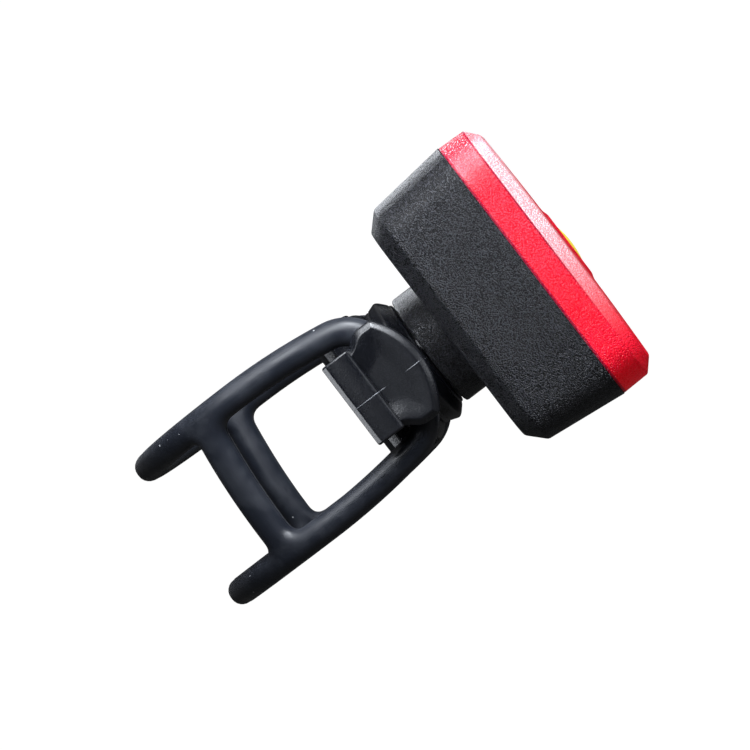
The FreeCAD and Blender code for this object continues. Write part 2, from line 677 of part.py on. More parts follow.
def make_rear_housing():
    """Drafted shell: chamfered back, twist-lock boss, screw posts, standoffs and charging port."""
    outer = tapered(
        [
            (BACK_HALF, corner_at(BACK_HALF), BACK_OUT),
            (CHAMFER_HALF, corner_at(CHAMFER_HALF), CHAMFER_OUT),
            (SEAM_HALF, SEAM_CORNER_R, SEAM_OUT),
        ]
    )
    boss = disc(BOSS_R, BOSS_OUT, BACK_OUT + ROOT)
    body = outer.fuse(boss).removeSplitter()
    body = body.makeFillet(BOSS_FILLET, boss_circle(body, BACK_OUT))
    body = body.makeFillet(BOSS_EDGE_R, boss_circle(body, BOSS_OUT))
    body = body.cut(tapered(cavity_stations(HOUSING_WALL, SEAM_OUT)))
    inset = HOUSING_WALL - REBATE_W
    corner = SEAM_CORNER_R - REBATE_W
    rebate = [(half_at(REBATE_OUT) - inset, corner, REBATE_OUT), (SEAM_HALF - inset, corner, SEAM_OUT)]
    body = body.cut(tapered(rebate))
    post_top = LENS_BOSS_OUT - POST_GAP
    adds = [disc(POST_BOSS_R, FLOOR_OUT - ROOT, post_top, x, z) for x, z in four_corners(SCREW_XZ)]
    adds += [disc(STANDOFF_R, FLOOR_OUT - ROOT, BOARD_OUT - SEAT, x, 0) for x in (-STANDOFF_X, STANDOFF_X)]
    body = fused([body] + adds)
    seat = BACK_OUT + SCREW_RECESS + SCREW_HEAD_T
    for x, z in four_corners(SCREW_XZ):
        body = body.cut(disc(SCREW_HEAD_R + HOLE_CLEARANCE, BACK_OUT - PAST, seat, x, z))
        body = body.cut(disc(SCREW_SHAFT_R + HOLE_CLEARANCE, BACK_OUT, post_top + PAST, x, z))
    thread_r = SCREW_SHAFT_R + THREAD_CLEARANCE
    for x in (-STANDOFF_X, STANDOFF_X):
        body = body.cut(disc(thread_r, BOARD_FRONT - BOARD_SCREW_LENGTH - SCREW_TIP_GAP, BOARD_OUT, x, 0))
    tenon = TENON_W + 2 * THREAD_CLEARANCE
    body = body.cut(block(tenon, tenon, BOSS_OUT - PAST, BOSS_OUT + TENON_H + THREAD_CLEARANCE))
    body = body.cut(disc(thread_r, BOSS_OUT, foot_screw_seat() + FOOT_SCREW_LENGTH + SCREW_TIP_GAP))
    recess_h = COVER_H + ANCHOR_H + 2 * COVER_CLEARANCE
    recess_w = COVER_W + 2 * COVER_CLEARANCE
    recess = flat_plate(recess_w, recess_h, RECESS_R, -COVER_T - SEAT, PAST, -ANCHOR_H / 2)
    port = flat_plate(PORT_W, PORT_H, PORT_R, -3 * HOUSING_WALL, PAST)
    body = body.cut(port_frame(recess)).cut(port_frame(port))
    return body.removeSplitter()


def boss_circle(body, out):
    """The edge of the boss at a distance from the post."""
    circles = [e for e in body.Edges if isinstance(e.Curve, Part.Circle)]
    same_size = [e for e in circles if abs(e.Curve.Radius - BOSS_R) < SEAT]
    return [e for e in same_size if abs(-e.CenterOfMass.y - out) < SEAT]


def make_port_plug():
    """Rubber cover of the charging port with a short tongue, drawn at rest in its recess."""
    cover = flat_plate(COVER_W, COVER_H, COVER_R, -COVER_T, 0.0)
    root = -COVER_T / 2
    tongue = flat_plate(PLUG_TONGUE_W, PLUG_TONGUE_H, TONGUE_R, -COVER_T - PLUG_TONGUE_T, root)
    notch = Part.makeCylinder(PULL_TAB_W / 2, COVER_T, Vector(0, COVER_H / 2 + PULL_TAB_W / 3, -COVER_T / 2))
    return port_frame(cover.fuse(tongue).cut(notch).removeSplitter())


def make_plug_anchor():
    """Fixed strip of the plug's moulding, behind its living hinge."""
    behind = -(COVER_H + ANCHOR_H + COVER_CLEARANCE) / 2
    return port_frame(flat_plate(COVER_W, ANCHOR_H - COVER_CLEARANCE, ANCHOR_R, -COVER_T, 0.0, behind))


def make_lens_cover():
    """Red cover: drafted side, chamfer, crowned front with a collar, tongue and four screw bosses."""
    front_corner = SEAM_CORNER_R - LENS_CHAMFER
    outer = tapered(
        [
            (LENS_HALF, SEAM_CORNER_R - SEAM_STEP, SEAM_OUT),
            (LENS_EDGE_HALF, SEAM_CORNER_R - LENS_CORNER_STEP, LENS_EDGE_OUT),
            (FRONT_HALF, front_corner, FRONT_OUT),
            (FRONT_HALF, front_corner, CROWN_OUT + ROOT),
        ]
    )
    crown_r = (FRONT_HALF**2 + LENS_CROWN**2) / (2 * LENS_CROWN)
    outer = outer.common(Part.makeSphere(crown_r, v(0, CROWN_OUT - crown_r, 0)))
    root_out = FRONT_OUT - COLLAR_ROOT
    top_out = CROWN_OUT + COLLAR_H
    slope = [(COLLAR_R, FRONT_OUT), (COLLAR_R - COLLAR_SLOPE, top_out)]
    collar = turned([(0, root_out), (COLLAR_R, root_out)] + slope + [(0, top_out)])
    shell = fused([outer, lens_tongue(), collar])
    back_out = SEAM_OUT - TONGUE_H
    inner_half = half_at(back_out) - HOUSING_WALL - TONGUE_GAP
    inner_corner = SEAM_CORNER_R - HOUSING_WALL
    shell = shell.cut(slab(inner_half, inner_half, inner_corner, back_out - PAST, LENS_INNER_OUT))
    end_out = LENS_INNER_OUT + ROOT
    bosses = [disc(LENS_BOSS_R, LENS_BOSS_OUT, end_out, x, z) for x, z in four_corners(SCREW_XZ)]
    shell = fused([shell] + bosses)
    thread_r = SCREW_SHAFT_R + THREAD_CLEARANCE
    for x, z in four_corners(SCREW_XZ):
        shell = shell.cut(disc(thread_r, LENS_BOSS_OUT - PAST, FRONT_OUT - LENS_SKIN, x, z))
    shell = shell.cut(disc(BUTTON_R + BUTTON_CLEARANCE, LENS_INNER_OUT - PAST, CROWN_OUT + 2 * PAST))
    return shell.removeSplitter()


def lens_tongue():
    """Rim of the lens cover that drops into the housing's rebate, solid until the cover is hollowed."""
    half = SEAM_HALF - HOUSING_WALL + REBATE_W - HOLE_CLEARANCE
    corner = SEAM_CORNER_R - REBATE_W
    taper = TONGUE_H * math.tan(math.radians(HOUSING_DRAFT))
    back_out = SEAM_OUT - TONGUE_H
    straight = [(half, corner, SEAM_OUT), (half, corner, SEAM_OUT + ROOT)]
    return tapered([(half - taper, corner, back_out)] + straight)


def make_seam_gasket():
    """Square-section seal between the lens tongue and the bottom of the housing's rebate."""
    top_out = SEAM_OUT - TONGUE_H - SEAT
    half = half_at(REBATE_OUT) - HOUSING_WALL + REBATE_W - 2 * SEAT
    inner = half - REBATE_W
    ring = slab(half, half, SEAM_CORNER_R - REBATE_W, REBATE_OUT + SEAT, top_out)
    return ring.cut(slab(inner, inner, SEAM_CORNER_R - 2 * REBATE_W, REBATE_OUT - PAST, top_out + PAST))


def make_circuit_board():
    """Square board notched at the screw posts, with two screw holes."""
    back = BOARD_OUT - PAST
    front = BOARD_FRONT + PAST
    board = slab(BOARD_HALF, BOARD_HALF, BOARD_CORNER_R, BOARD_OUT, BOARD_FRONT)
    for x, z in four_corners(SCREW_XZ):
        board = board.cut(disc(POST_BOSS_R + PART_CLEARANCE, back, front, x, z))
    for x in (-STANDOFF_X, STANDOFF_X):
        board = board.cut(disc(SCREW_SHAFT_R + HOLE_CLEARANCE, back, front, x, 0))
    return largest(board)


def largest(shape):
    """The biggest solid of a cut body, without the slivers cut loose at its corners."""
    return max(shape.Solids, key=lambda solid: solid.Volume)


def led_places():
    return four_corners(LED_XZ)


def make_leds():
    """Four square emitters, each with a low dome."""
    leds = []
    for x, z in led_places():
        body = block(LED_W, LED_W, BOARD_FRONT + SEAT, BOARD_FRONT + SEAT + LED_T, x, z)
        dome = ball(LED_DOME_R, BOARD_FRONT + LED_T, x, z)
        keep = block(LED_W, LED_W, BOARD_FRONT + LED_T / 2, BOARD_FRONT + LED_T + LED_DOME_R, x, z)
        leds.append(body.fuse(dome.common(keep)).removeSplitter())
    return leds


def make_reflector():
    """Plate with four flared cups, a tube round the button stem and four legs that stand on the board."""
    front = REFLECTOR_OUT + REFLECTOR_T
    inside = REFLECTOR_OUT + REFLECTOR_T / 2
    cup_out = BOARD_FRONT + LED_T + LED_DOME_R / 2
    body = slab(REFLECTOR_HALF, REFLECTOR_HALF, REFLECTOR_CORNER_R, REFLECTOR_OUT, front)
    over_screws = BOARD_FRONT + BOARD_SCREW_HEAD_T + PART_CLEARANCE
    adds = [disc(LEG_R, BOARD_FRONT + SEAT, inside, 0, z) for z in (-LEG_X, LEG_X)]
    adds += [disc(LEG_R, over_screws, inside, x, 0) for x in (-LEG_X, LEG_X)]
    adds.append(disc(STEM_TUBE_R, BOARD_FRONT + SWITCH_T + PART_CLEARANCE, inside))
    adds += [cup_solid(x, z, cup_out, front, CUP_WALL) for x, z in led_places()]
    body = fused([body] + adds)
    for x, z in led_places():
        body = body.cut(cup_solid(x, z, cup_out - SEAT, front + SEAT, 0.0))
    body = body.cut(disc(BUTTON_STEM_R + PART_CLEARANCE, BOARD_FRONT, front + PAST))
    body = body.cut(disc(BUTTON_FLANGE_R + PART_CLEARANCE, inside, front + PAST))
    for x, z in four_corners(SCREW_XZ):
        body = body.cut(disc(LENS_BOSS_R + PART_CLEARANCE, REFLECTOR_OUT - BOSS_RELIEF, front + PAST, x, z))
    return largest(body)


def cup_solid(x, z, out0, out1, grow):
    """Cone of a reflector cup, grown by the given wall."""
    return Part.makeCone(CUP_BACK_R + grow, CUP_FRONT_R + grow, out1 - out0, v(x, out0, z), Vector(0, -1, 0))


def make_diffuser():
    """Frosted sheet in front of the reflector, with holes for the button and the screw bosses."""
    back = DIFFUSER_OUT - PAST
    front = DIFFUSER_OUT + DIFFUSER_T
    sheet = slab(REFLECTOR_HALF, REFLECTOR_HALF, REFLECTOR_CORNER_R, DIFFUSER_OUT, front)
    sheet = sheet.cut(disc(BUTTON_FLANGE_R + PART_CLEARANCE, back, front + PAST))
    for x, z in four_corners(SCREW_XZ):
        sheet = sheet.cut(disc(LENS_BOSS_R + PART_CLEARANCE, back, front + PAST, x, z))
    return largest(sheet)


def make_mode_switch():
    """Tactile switch body with the hole of its plunger."""
    front = BOARD_FRONT + SEAT + SWITCH_T
    body = block(SWITCH_W, SWITCH_W, BOARD_FRONT + SEAT, front)
    hole_out = front - SWITCH_PIN_SINK - BUTTON_TRAVEL / 2
    return body.cut(disc(SWITCH_PIN_R + BUTTON_CLEARANCE, hole_out, front + PAST))


def pin_out():
    """Inner end of the switch plunger at rest."""
    return BOARD_FRONT + SEAT + SWITCH_T - SWITCH_PIN_SINK + BUTTON_TRAVEL


def make_switch_plunger():
    """Plunger that the button's stem pushes into the switch."""
    return disc(SWITCH_PIN_R, pin_out(), pin_out() + SWITCH_PIN_H)


def make_button_cap():
    """Domed push button with a retaining flange and a stem down to the switch."""
    rim = CROWN_OUT + BUTTON_PROUD - BUTTON_DOME
    flange_front = LENS_INNER_OUT - BUTTON_FLANGE_GAP
    dome_r = (BUTTON_R**2 + BUTTON_DOME**2) / (2 * BUTTON_DOME)
    cap = disc(BUTTON_R, flange_front - BUTTON_FLANGE_T, rim + BUTTON_DOME)
    cap = cap.common(ball(dome_r, rim + BUTTON_DOME - dome_r))
    flange = disc(BUTTON_FLANGE_R, flange_front - BUTTON_FLANGE_T, flange_front)
    stem = disc(BUTTON_STEM_R, pin_out() + SWITCH_PIN_H + SEAT, flange_front)
    return fused([cap, flange, stem])


def make_battery_cell():
    """Flat pouch cell with rounded long edges."""
    cell = block(CELL_W, CELL_L, CELL_OUT + SEAT, CELL_OUT + CELL_T, 0, CELL_Z)
    return cell.makeFillet(CELL_EDGE_R, straight_edges(cell, Vector(0, 0, 1)))


def make_battery_tabs():
    """Two strips from the cell's upper edge to the board."""
    top = CELL_Z + CELL_L / 2
    middle = CELL_OUT + CELL_T / 2
    rise = TAB_W / 2
    tabs = []
    for x in (-TAB_X, TAB_X):
        points = [
            (middle, top + SEAT),
            (middle, top + rise),
            (BOARD_OUT - SEAT, top + rise),
            (BOARD_OUT - SEAT, top + rise - TAB_T),
            (middle + TAB_T, top + rise - TAB_T),
            (middle + TAB_T, top + SEAT),
        ]
        wire = Part.makePolygon([v(x - TAB_W / 2, out, z) for out, z in points + points[:1]])
        tabs.append(Part.Face(wire).extrude(Vector(TAB_W, 0, 0)))
    return tabs


def make_battery_pad():
    """Foam pad between the cell and the floor of the housing."""
    half_x = CELL_W / 2 - CELL_PAD_INSET
    half_z = CELL_L / 2 - CELL_PAD_INSET
    return slab(half_x, half_z, CELL_PAD_R, FLOOR_OUT + SEAT, CELL_OUT, 0, CELL_Z)


def make_driver_chips():
    """Three parts soldered behind the board, in the gap above the cell."""
    front = BOARD_OUT - SEAT
    return [
        block(DRIVER_W, DRIVER_W, front - CHIP_T, front, -DRIVER_X, -DRIVER_Z),
        block(FUSE_W, FUSE_H, front - CHIP_T, front, FUSE_X, -FUSE_Z),
        block(COIL_W, COIL_H, front - CHIP_T, front, COIL_X, COIL_Z),
    ]


def usb_tube(width, height, z0, z1):
    """Upright bar with round ends, centred on the port."""
    body = Part.makeBox(width, height, z1 - z0, Vector(-width / 2, -PORT_OUT - height / 2, z0))
    return body.makeFillet(height / 2 - USB_END_EASE, straight_edges(body, Vector(0, 0, 1)))


def make_usb_socket():
    """Charging socket: a rounded shell with its tongue, on the back of the board behind the port."""
    top = USB_L - USB_MOUTH
    shell = usb_tube(USB_W, USB_H, -USB_MOUTH, top)
    hollow = usb_tube(USB_W - 2 * USB_WALL, USB_H - 2 * USB_WALL, -USB_MOUTH - PAST, top - USB_FLOOR)
    corner = Vector(-USB_TONGUE_W / 2, -PORT_OUT - USB_TONGUE_T / 2, USB_TONGUE_SETBACK - USB_MOUTH)
    tongue_l = USB_L - USB_FLOOR + USB_TONGUE_ROOT - USB_TONGUE_SETBACK
    tongue = Part.makeBox(USB_TONGUE_W, USB_TONGUE_T, tongue_l, corner)
    return shell.cut(hollow).fuse(tongue).removeSplitter()


def make_board_screws():
    """Screws that hold the board on its standoffs, heads towards the lens."""
    screws = []
    for x in (-STANDOFF_X, STANDOFF_X):
        head = disc(BOARD_SCREW_HEAD_R, BOARD_FRONT + SEAT, BOARD_FRONT + SEAT + BOARD_SCREW_HEAD_T, x, 0)
        shaft = disc(SCREW_SHAFT_R, BOARD_FRONT - BOARD_SCREW_LENGTH, BOARD_FRONT + SEAT, x, 0)
        screws.append(head.fuse(shaft).removeSplitter())
    return screws


def make_nodes():
    """Every piece by its node's name."""
    housing_seat = BACK_OUT + SCREW_RECESS
    lens_screw_length = FRONT_OUT - LENS_SKIN - LENS_SCREW_GAP - housing_seat - SCREW_HEAD_T
    socket_seat = socket_screw_seat() - SCREW_HEAD_T
    return {
        "bracket_core": make_bracket_core(),
        "saddle_pad": make_saddle_pad(),
        "twist_socket": make_twist_socket(),
        "socket_screws": [screw(socket_seat, SOCKET_SCREW_LENGTH, x, z) for x, z in socket_screw_places()],
        "strap": make_strap(),
        "rear_housing": make_rear_housing(),
        "lens_cover": make_lens_cover(),
        "seam_gasket": make_seam_gasket(),
        "housing_screws": [screw(housing_seat, lens_screw_length, x, z) for x, z in four_corners(SCREW_XZ)],
        "twist_foot": make_twist_foot(),
        "foot_screw": screw(foot_screw_seat() - SCREW_HEAD_T, FOOT_SCREW_LENGTH, 0, 0),
        "circuit_board": make_circuit_board(),
        "board_screws": make_board_screws(),
        "leds": make_leds(),
        "reflector": make_reflector(),
        "diffuser": make_diffuser(),
        "mode_switch": make_mode_switch(),
        "driver_chips": make_driver_chips(),
        "usb_socket": make_usb_socket(),
        "battery_cell": make_battery_cell(),
        "battery_tabs": make_battery_tabs(),
        "battery_pad": make_battery_pad(),
        "plug_anchor": make_plug_anchor(),
        "port_plug": make_port_plug(),
        "button_cap": make_button_cap(),
        "switch_plunger": make_switch_plunger(),
    }


def main():
    os.makedirs("parts", exist_ok=True)
    for name, made in make_nodes().items():
        solids = made if isinstance(made, list) else [made]
        shape = Part.makeCompound(solids) if len(solids) > 1 else solids[0]
        shape.exportStep("parts/" + name + ".step")
        box = shape.BoundBox
        size = f"{box.XLength:.2f} x {box.YLength:.2f} x {box.ZLength:.2f}"
        solid = f"{len(shape.Solids)} solids, valid {shape.isValid()}"
        print(f"{name}: {solid}, {shape.Volume:.1f} mm3, {size} mm")


main()
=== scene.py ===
import logging
import math
from dataclasses import dataclass, field
from enum import Enum
from typing import Callable, Sequence

import bmesh
import bpy
import numpy as np
from mathutils import Matrix, Vector
from mathutils.geometry import delaunay_2d_cdt


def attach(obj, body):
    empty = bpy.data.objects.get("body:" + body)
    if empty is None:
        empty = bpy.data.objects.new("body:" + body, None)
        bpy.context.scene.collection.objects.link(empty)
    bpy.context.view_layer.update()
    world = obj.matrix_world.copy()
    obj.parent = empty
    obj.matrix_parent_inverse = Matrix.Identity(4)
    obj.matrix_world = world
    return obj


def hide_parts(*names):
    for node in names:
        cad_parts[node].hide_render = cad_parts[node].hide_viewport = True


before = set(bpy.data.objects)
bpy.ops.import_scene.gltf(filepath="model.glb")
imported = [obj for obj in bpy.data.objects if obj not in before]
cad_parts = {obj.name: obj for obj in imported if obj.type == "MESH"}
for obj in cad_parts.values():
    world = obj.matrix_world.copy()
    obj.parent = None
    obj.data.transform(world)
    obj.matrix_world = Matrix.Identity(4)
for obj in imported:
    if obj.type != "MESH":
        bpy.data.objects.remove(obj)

MM = 0.001  # metres in a millimetre
WELD = 3e-7  # metres: points nearer to each other than this become one
SLIVER = 1e-8  # metres: edges shorter than this are dissolved
REPEAT = 1e-4  # millimetres: a loop's points nearer to each other than this are repeats
ROUND_POINTS = 9  # points on a loop's rounded corner
TINY = 1e-12  # stands in for a length or rise of nothing, so that it can be divided by
Colour = tuple[float, float, float, float]
Span = tuple[float, float]
Spot = tuple[float, float, float]
log = logging.getLogger("tail_light")


# Surfaces worked out as arrays

@dataclass(frozen=True)
class Surface:
    """A skin in millimetres: its points, its four-sided faces and its three-sided faces."""

    points: np.ndarray
    quads: np.ndarray
    tris: np.ndarray

    def moved(self, place: Callable[[np.ndarray], np.ndarray]) -> "Surface":
        """The same skin with every point sent through a function of the whole array."""
        return Surface(place(self.points), self.quads, self.tris)

    def mirrored(self) -> "Surface":
        """The same skin on the other side of the post, where x becomes -x."""
        return self.moved(lambda p: p * np.array([-1.0, 1.0, 1.0]))


def gathered(skins: Sequence[Surface]) -> Surface:
    """Puts several skins into one, with the face numbers shifted past the points before them.

    Args:
        skins: the skins, in any order.

    Returns:
        One skin that holds them all.
    """
    starts = np.cumsum([0] + [len(s.points) for s in skins[:-1]])
    quads = [s.quads + n for s, n in zip(skins, starts) if len(s.quads)]
    tris = [s.tris + n for s, n in zip(skins, starts) if len(s.tris)]
    return Surface(
        np.vstack([s.points for s in skins]),
        np.vstack(quads) if quads else np.empty((0, 4), int),
        np.vstack(tris) if tris else np.empty((0, 3), int),
    )


def woven(rings: np.ndarray, joined_ends: bool = False, capped: bool = True) -> Surface:
    """Skin over a stack of closed rings.

    Face (i, j) joins the points (i, j), (i, j + 1), (i + 1, j + 1) and (i + 1, j). A cap is a fan from the
    end ring to the mean of its points.

    Args:
        rings: array of rings, points on each ring, and x, y, z.
        joined_ends: whether the last ring meets the first, as on a hollow body with a hole.
        capped: whether the two end rings are closed.

    Returns:
        The skin.
    """
    count, columns, _ = rings.shape
    points = rings.reshape(-1, 3)
    index = np.arange(count * columns).reshape(count, columns)
    rows = np.vstack([index, index[:1]]) if joined_ends else index
    low, high = rows[:-1], rows[1:]
    quads = np.stack([low, np.roll(low, -1, 1), np.roll(high, -1, 1), high], -1).reshape(-1, 4)
    tris = np.empty((0, 3), int)
    if capped and not joined_ends:
        centres = np.stack([rings[0].mean(0), rings[-1].mean(0)])
        first, last = len(points), len(points) + 1
        points = np.vstack([points, centres])
        start, end = index[0], index[-1]
        tris = np.vstack([
            np.stack([np.roll(start, -1), start, np.full(columns, first)], -1),
            np.stack([end, np.roll(end, -1), np.full(columns, last)], -1),
        ])
    return Surface(points, quads, tris)


def eased(rings: np.ndarray, reach: Sequence[float], steps: int = 4, joined_ends: bool = False) -> np.ndarray:
    """Rounds the corners between rings.

    Ring i becomes a curve from a point on the way to the ring before to a point on the way to the ring after,
    both a reach away. At t from 0 to 1 the curve is (1 - t)^2 before + 2 t (1 - t) corner + t^2 after.

    Args:
        rings: array of rings, points and x, y, z.
        reach: how far each corner's rounding starts from it, 0 for a ring that stays as it is.
        steps: how many rings each rounding adds.
        joined_ends: whether the last ring meets the first.

    Returns:
        The rings with the rounding in place.
    """
    most_of_gap = 0.48
    t = np.linspace(0.0, 1.0, steps + 1)[:, None, None]
    made = []
    last = len(rings) - 1
    for i, distance in enumerate(reach):
        corner = rings[i]
        if distance <= 0 or (not joined_ends and i in (0, last)):
            made.append(corner[None])
            continue
        ends = []
        for other in (rings[i - 1], rings[(i + 1) % len(rings)]):
            gap = other - corner
            length = np.maximum(np.linalg.norm(gap, axis=1, keepdims=True), TINY)
            ends.append(corner + gap * np.minimum(distance / length, most_of_gap))
        made.append((1 - t) ** 2 * ends[0] + 2 * t * (1 - t) * corner + t**2 * ends[1])
    return np.concatenate(made)


def facing(flat: np.ndarray, out: np.ndarray | float) -> np.ndarray:
    """Points (x, z) at a distance out from the post, as x, y, z with y = -out."""
    return np.stack([flat[..., 0], -np.broadcast_to(out, flat[..., 0].shape), flat[..., 1]], -1)


def squares(half: Sequence[float], corner: Sequence[float], arc: int = 8, side: int = 6) -> np.ndarray:
    """Rounded squares, one for each half width.

    The corner in quadrant (sx, sz) is (half - r) (sx, sz) + r (cos a, sin a) with a over its quarter turn,
    and the sides are straight lines between the quarter turns.

    Args:
        half: half widths.
        corner: corner radii.
        arc: steps on each corner.
        side: steps on each side.

    Returns:
        Array of squares, points and x, z.
    """
    h = np.asarray(half, float)[:, None, None, None]
    r = np.asarray(corner, float)[:, None, None, None]
    a = np.radians(np.arange(4)[:, None] * 90 + np.linspace(0, 90, arc + 1)[None, :])
    sign = np.array([(1, 1), (-1, 1), (-1, -1), (1, -1)], float)[None, :, None, :]
    turn = np.stack([np.cos(a), np.sin(a)], -1)[None]
    corners = sign * (h - r) + r * turn
    t = np.linspace(0, 1, side + 1)[1:-1][None, None, :, None]
    straight = corners[:, :, -1:, :] * (1 - t) + np.roll(corners[:, :, :1, :], -1, 1) * t
    return np.concatenate([corners, straight], 2).reshape(len(corners), -1, 2)


def circles(radii: Sequence[float], like: np.ndarray) -> np.ndarray:
    """Circles whose points lie in the same directions as the given ring's, as radius (x, z) / |(x, z)|."""
    direction = like / np.linalg.norm(like, axis=1, keepdims=True)
    return np.asarray(radii, float)[:, None, None] * direction[None]


def unit_circle(columns: int) -> np.ndarray:
    """Points (cos a, sin a) with a over one full turn."""
    a = np.linspace(0, 2 * math.pi, columns, endpoint=False)
    return np.stack([np.cos(a), np.sin(a)], -1)


def lathe(profile: Sequence[Spot], columns: int, steps: int, centre: Span = (0.0, 0.0),
          joined_ends: bool = False) -> Surface:
    """Body turned about a line along the light's axis, from (radius, out, rounding) rows.

    The ring of a row is x = cx + radius cos a, z = cz + radius sin a, y = -out, with a over the full turn.

    Args:
        profile: rows from the first end to the last.
        columns: points on each ring.
        steps: rings in each rounding.
        centre: x and z of the axis.
        joined_ends: whether the last row meets the first, as on a body with a bore.

    Returns:
        The closed body.
    """
    rows = np.asarray(profile, float)
    flat = rows[:, 0][:, None, None] * unit_circle(columns) + np.asarray(centre)
    rings = facing(flat, rows[:, 1][:, None])
    return woven(eased(rings, rows[:, 2], steps, joined_ends), joined_ends)


def rectangle(width: float, height: float, middle: float = 0.0) -> np.ndarray:
    """The corners (w, m + h), (-w, m + h), (-w, m - h) and (w, m - h), with w and h the half sizes."""
    w, h = width / 2, height / 2
    return np.array([(w, middle + h), (-w, middle + h), (-w, middle - h), (w, middle - h)])


def smooth_loop(corners: np.ndarray, reach: Sequence[float], spacing: float) -> np.ndarray:
    """Closed loop through rounded corners, with points at an even spacing on the straight runs.

    A corner's curve is (1 - t)^2 a + 2 t (1 - t) c + t^2 b, with a and b a reach away from the corner c.

    Args:
        corners: the loop's corners.
        reach: how far from each corner its curve starts.
        spacing: largest distance between points on a run.

    Returns:
        The loop's points.
    """
    runs = []
    t = np.linspace(0, 1, ROUND_POINTS)[:, None]
    count = len(corners)
    for i in range(count):
        c = corners[i]
        back = corners[i - 1] - c
        ahead = corners[(i + 1) % count] - c
        a = c + back / np.linalg.norm(back) * reach[i]
        b = c + ahead / np.linalg.norm(ahead) * reach[i]
        if reach[i] > 0:
            runs.append((1 - t) ** 2 * a + 2 * t * (1 - t) * c + t**2 * b)
        else:
            runs.append(c[None])
        stop = corners[(i + 1) % count] - ahead / np.linalg.norm(ahead) * reach[(i + 1) % count]
        steps = max(int(np.linalg.norm(stop - b) / spacing), 1)
        s = np.linspace(0, 1, steps + 1)[1:-1, None]
        runs.append(b * (1 - s) + stop * s)
    return np.vstack(runs)


def thinned(loop: np.ndarray) -> np.ndarray:
    """The loop without points that repeat the one before them."""
    gap = np.linalg.norm(loop - np.roll(loop, 1, 0), axis=1)
    return loop[gap > REPEAT]


def turned_to(loop: np.ndarray, anticlockwise: bool) -> np.ndarray:
    """Turns a loop to the wanted sense, read from the sign of its area, the sum of x1 y2 - x2 y1.

    Args:
        loop: its points, as rows of (x, y).
        anticlockwise: the wanted sense.

    Returns:
        The same points, in that sense.
    """
    after = np.roll(loop, -1, 0)
    area = float(np.sum(loop[:, 0] * after[:, 1] - after[:, 0] * loop[:, 1]))
    return loop if (area > 0) == anticlockwise else loop[::-1]


def drawn_in(loop: np.ndarray, distance: float) -> np.ndarray:
    """The loop moved along the normal of the chord between each point's neighbours.

    The normal of a chord (cx, cz) is (cz, -cx) / |c|, and the loop moves by minus the distance along it:
    inwards where it runs anticlockwise, and outwards where it runs clockwise, as a window does.

    Args:
        loop: the loop's points.
        distance: how far it moves.

    Returns:
        The moved loop.
    """
    chord = np.roll(loop, -1, 0) - np.roll(loop, 1, 0)
    chord /= np.linalg.norm(chord, axis=1, keepdims=True)
    return loop - np.stack([chord[:, 1], -chord[:, 0]], -1) * distance


def distance_to(points: np.ndarray, loop: np.ndarray) -> np.ndarray:
    """Distance from each point to a closed loop, the least of its distances to the loop's straight pieces.

    Args:
        points: array (n, 2).
        loop: the loop's points, array (m, 2).

    Returns:
        Array (n,).
    """
    run = np.roll(loop, -1, 0) - loop
    from_start = points[:, None] - loop
    share = np.clip((from_start * run).sum(2) / np.maximum((run**2).sum(1), TINY), 0.0, 1.0)
    return np.linalg.norm(from_start - share[..., None] * run, axis=2).min(1)


def within(points: np.ndarray, loops: Sequence[np.ndarray]) -> np.ndarray:
    """Which points lie inside the outline: a ray along +x crosses its loops an odd number of times.

    Args:
        points: points to test.
        loops: the outline and its windows.

    Returns:
        A true or false for each point.
    """
    crossings = np.zeros(len(points), int)
    x, y = points[:, 0][:, None], points[:, 1][:, None]
    for loop in loops:
        p, q = loop, np.roll(loop, -1, 0)
        spans = (p[:, 1] > y) != (q[:, 1] > y)
        rise = np.where(q[:, 1] == p[:, 1], TINY, q[:, 1] - p[:, 1])
        at = p[:, 0] + (y - p[:, 1]) * (q[:, 0] - p[:, 0]) / rise
        crossings += np.sum(spans & (x < at), axis=1)
    return crossings % 2 == 1


def face_between(loops: Sequence[np.ndarray], spacing: float) -> tuple[np.ndarray, np.ndarray]:
    """Fills an outline with windows by triangles over its loops' points and an even field between them.

    Args:
        loops: the outline first, then its windows.
        spacing: distance between the points of the field.

    Returns:
        The points (u, w) and the triangles.
    """
    least_gap, merge = 0.45, 1e-5
    edge_points = np.vstack(loops)
    low, high = edge_points.min(0), edge_points.max(0)
    axes = [np.arange(a + spacing / 2, b, spacing) for a, b in zip(low, high)]
    field_points = np.stack(np.meshgrid(*axes), -1).reshape(-1, 2)
    field_points = field_points[within(field_points, loops)]
    distance = np.linalg.norm(field_points[:, None] - edge_points[None], axis=2).min(1)
    field_points = field_points[distance > spacing * least_gap]
    edges = []
    start = 0
    for loop in loops:
        index = np.arange(start, start + len(loop))
        edges += np.stack([index, np.roll(index, -1)], -1).tolist()
        start += len(loop)
    seeds = [Vector(p) for p in np.vstack([edge_points, field_points]).tolist()]
    points, _, faces, *_ = delaunay_2d_cdt(seeds, edges, [], 1, merge)
    flat = np.array([tuple(p) for p in points])
    tris = np.array([f for f in faces if len(f) == 3])
    return flat, tris[within(flat[tris].mean(1), loops)]


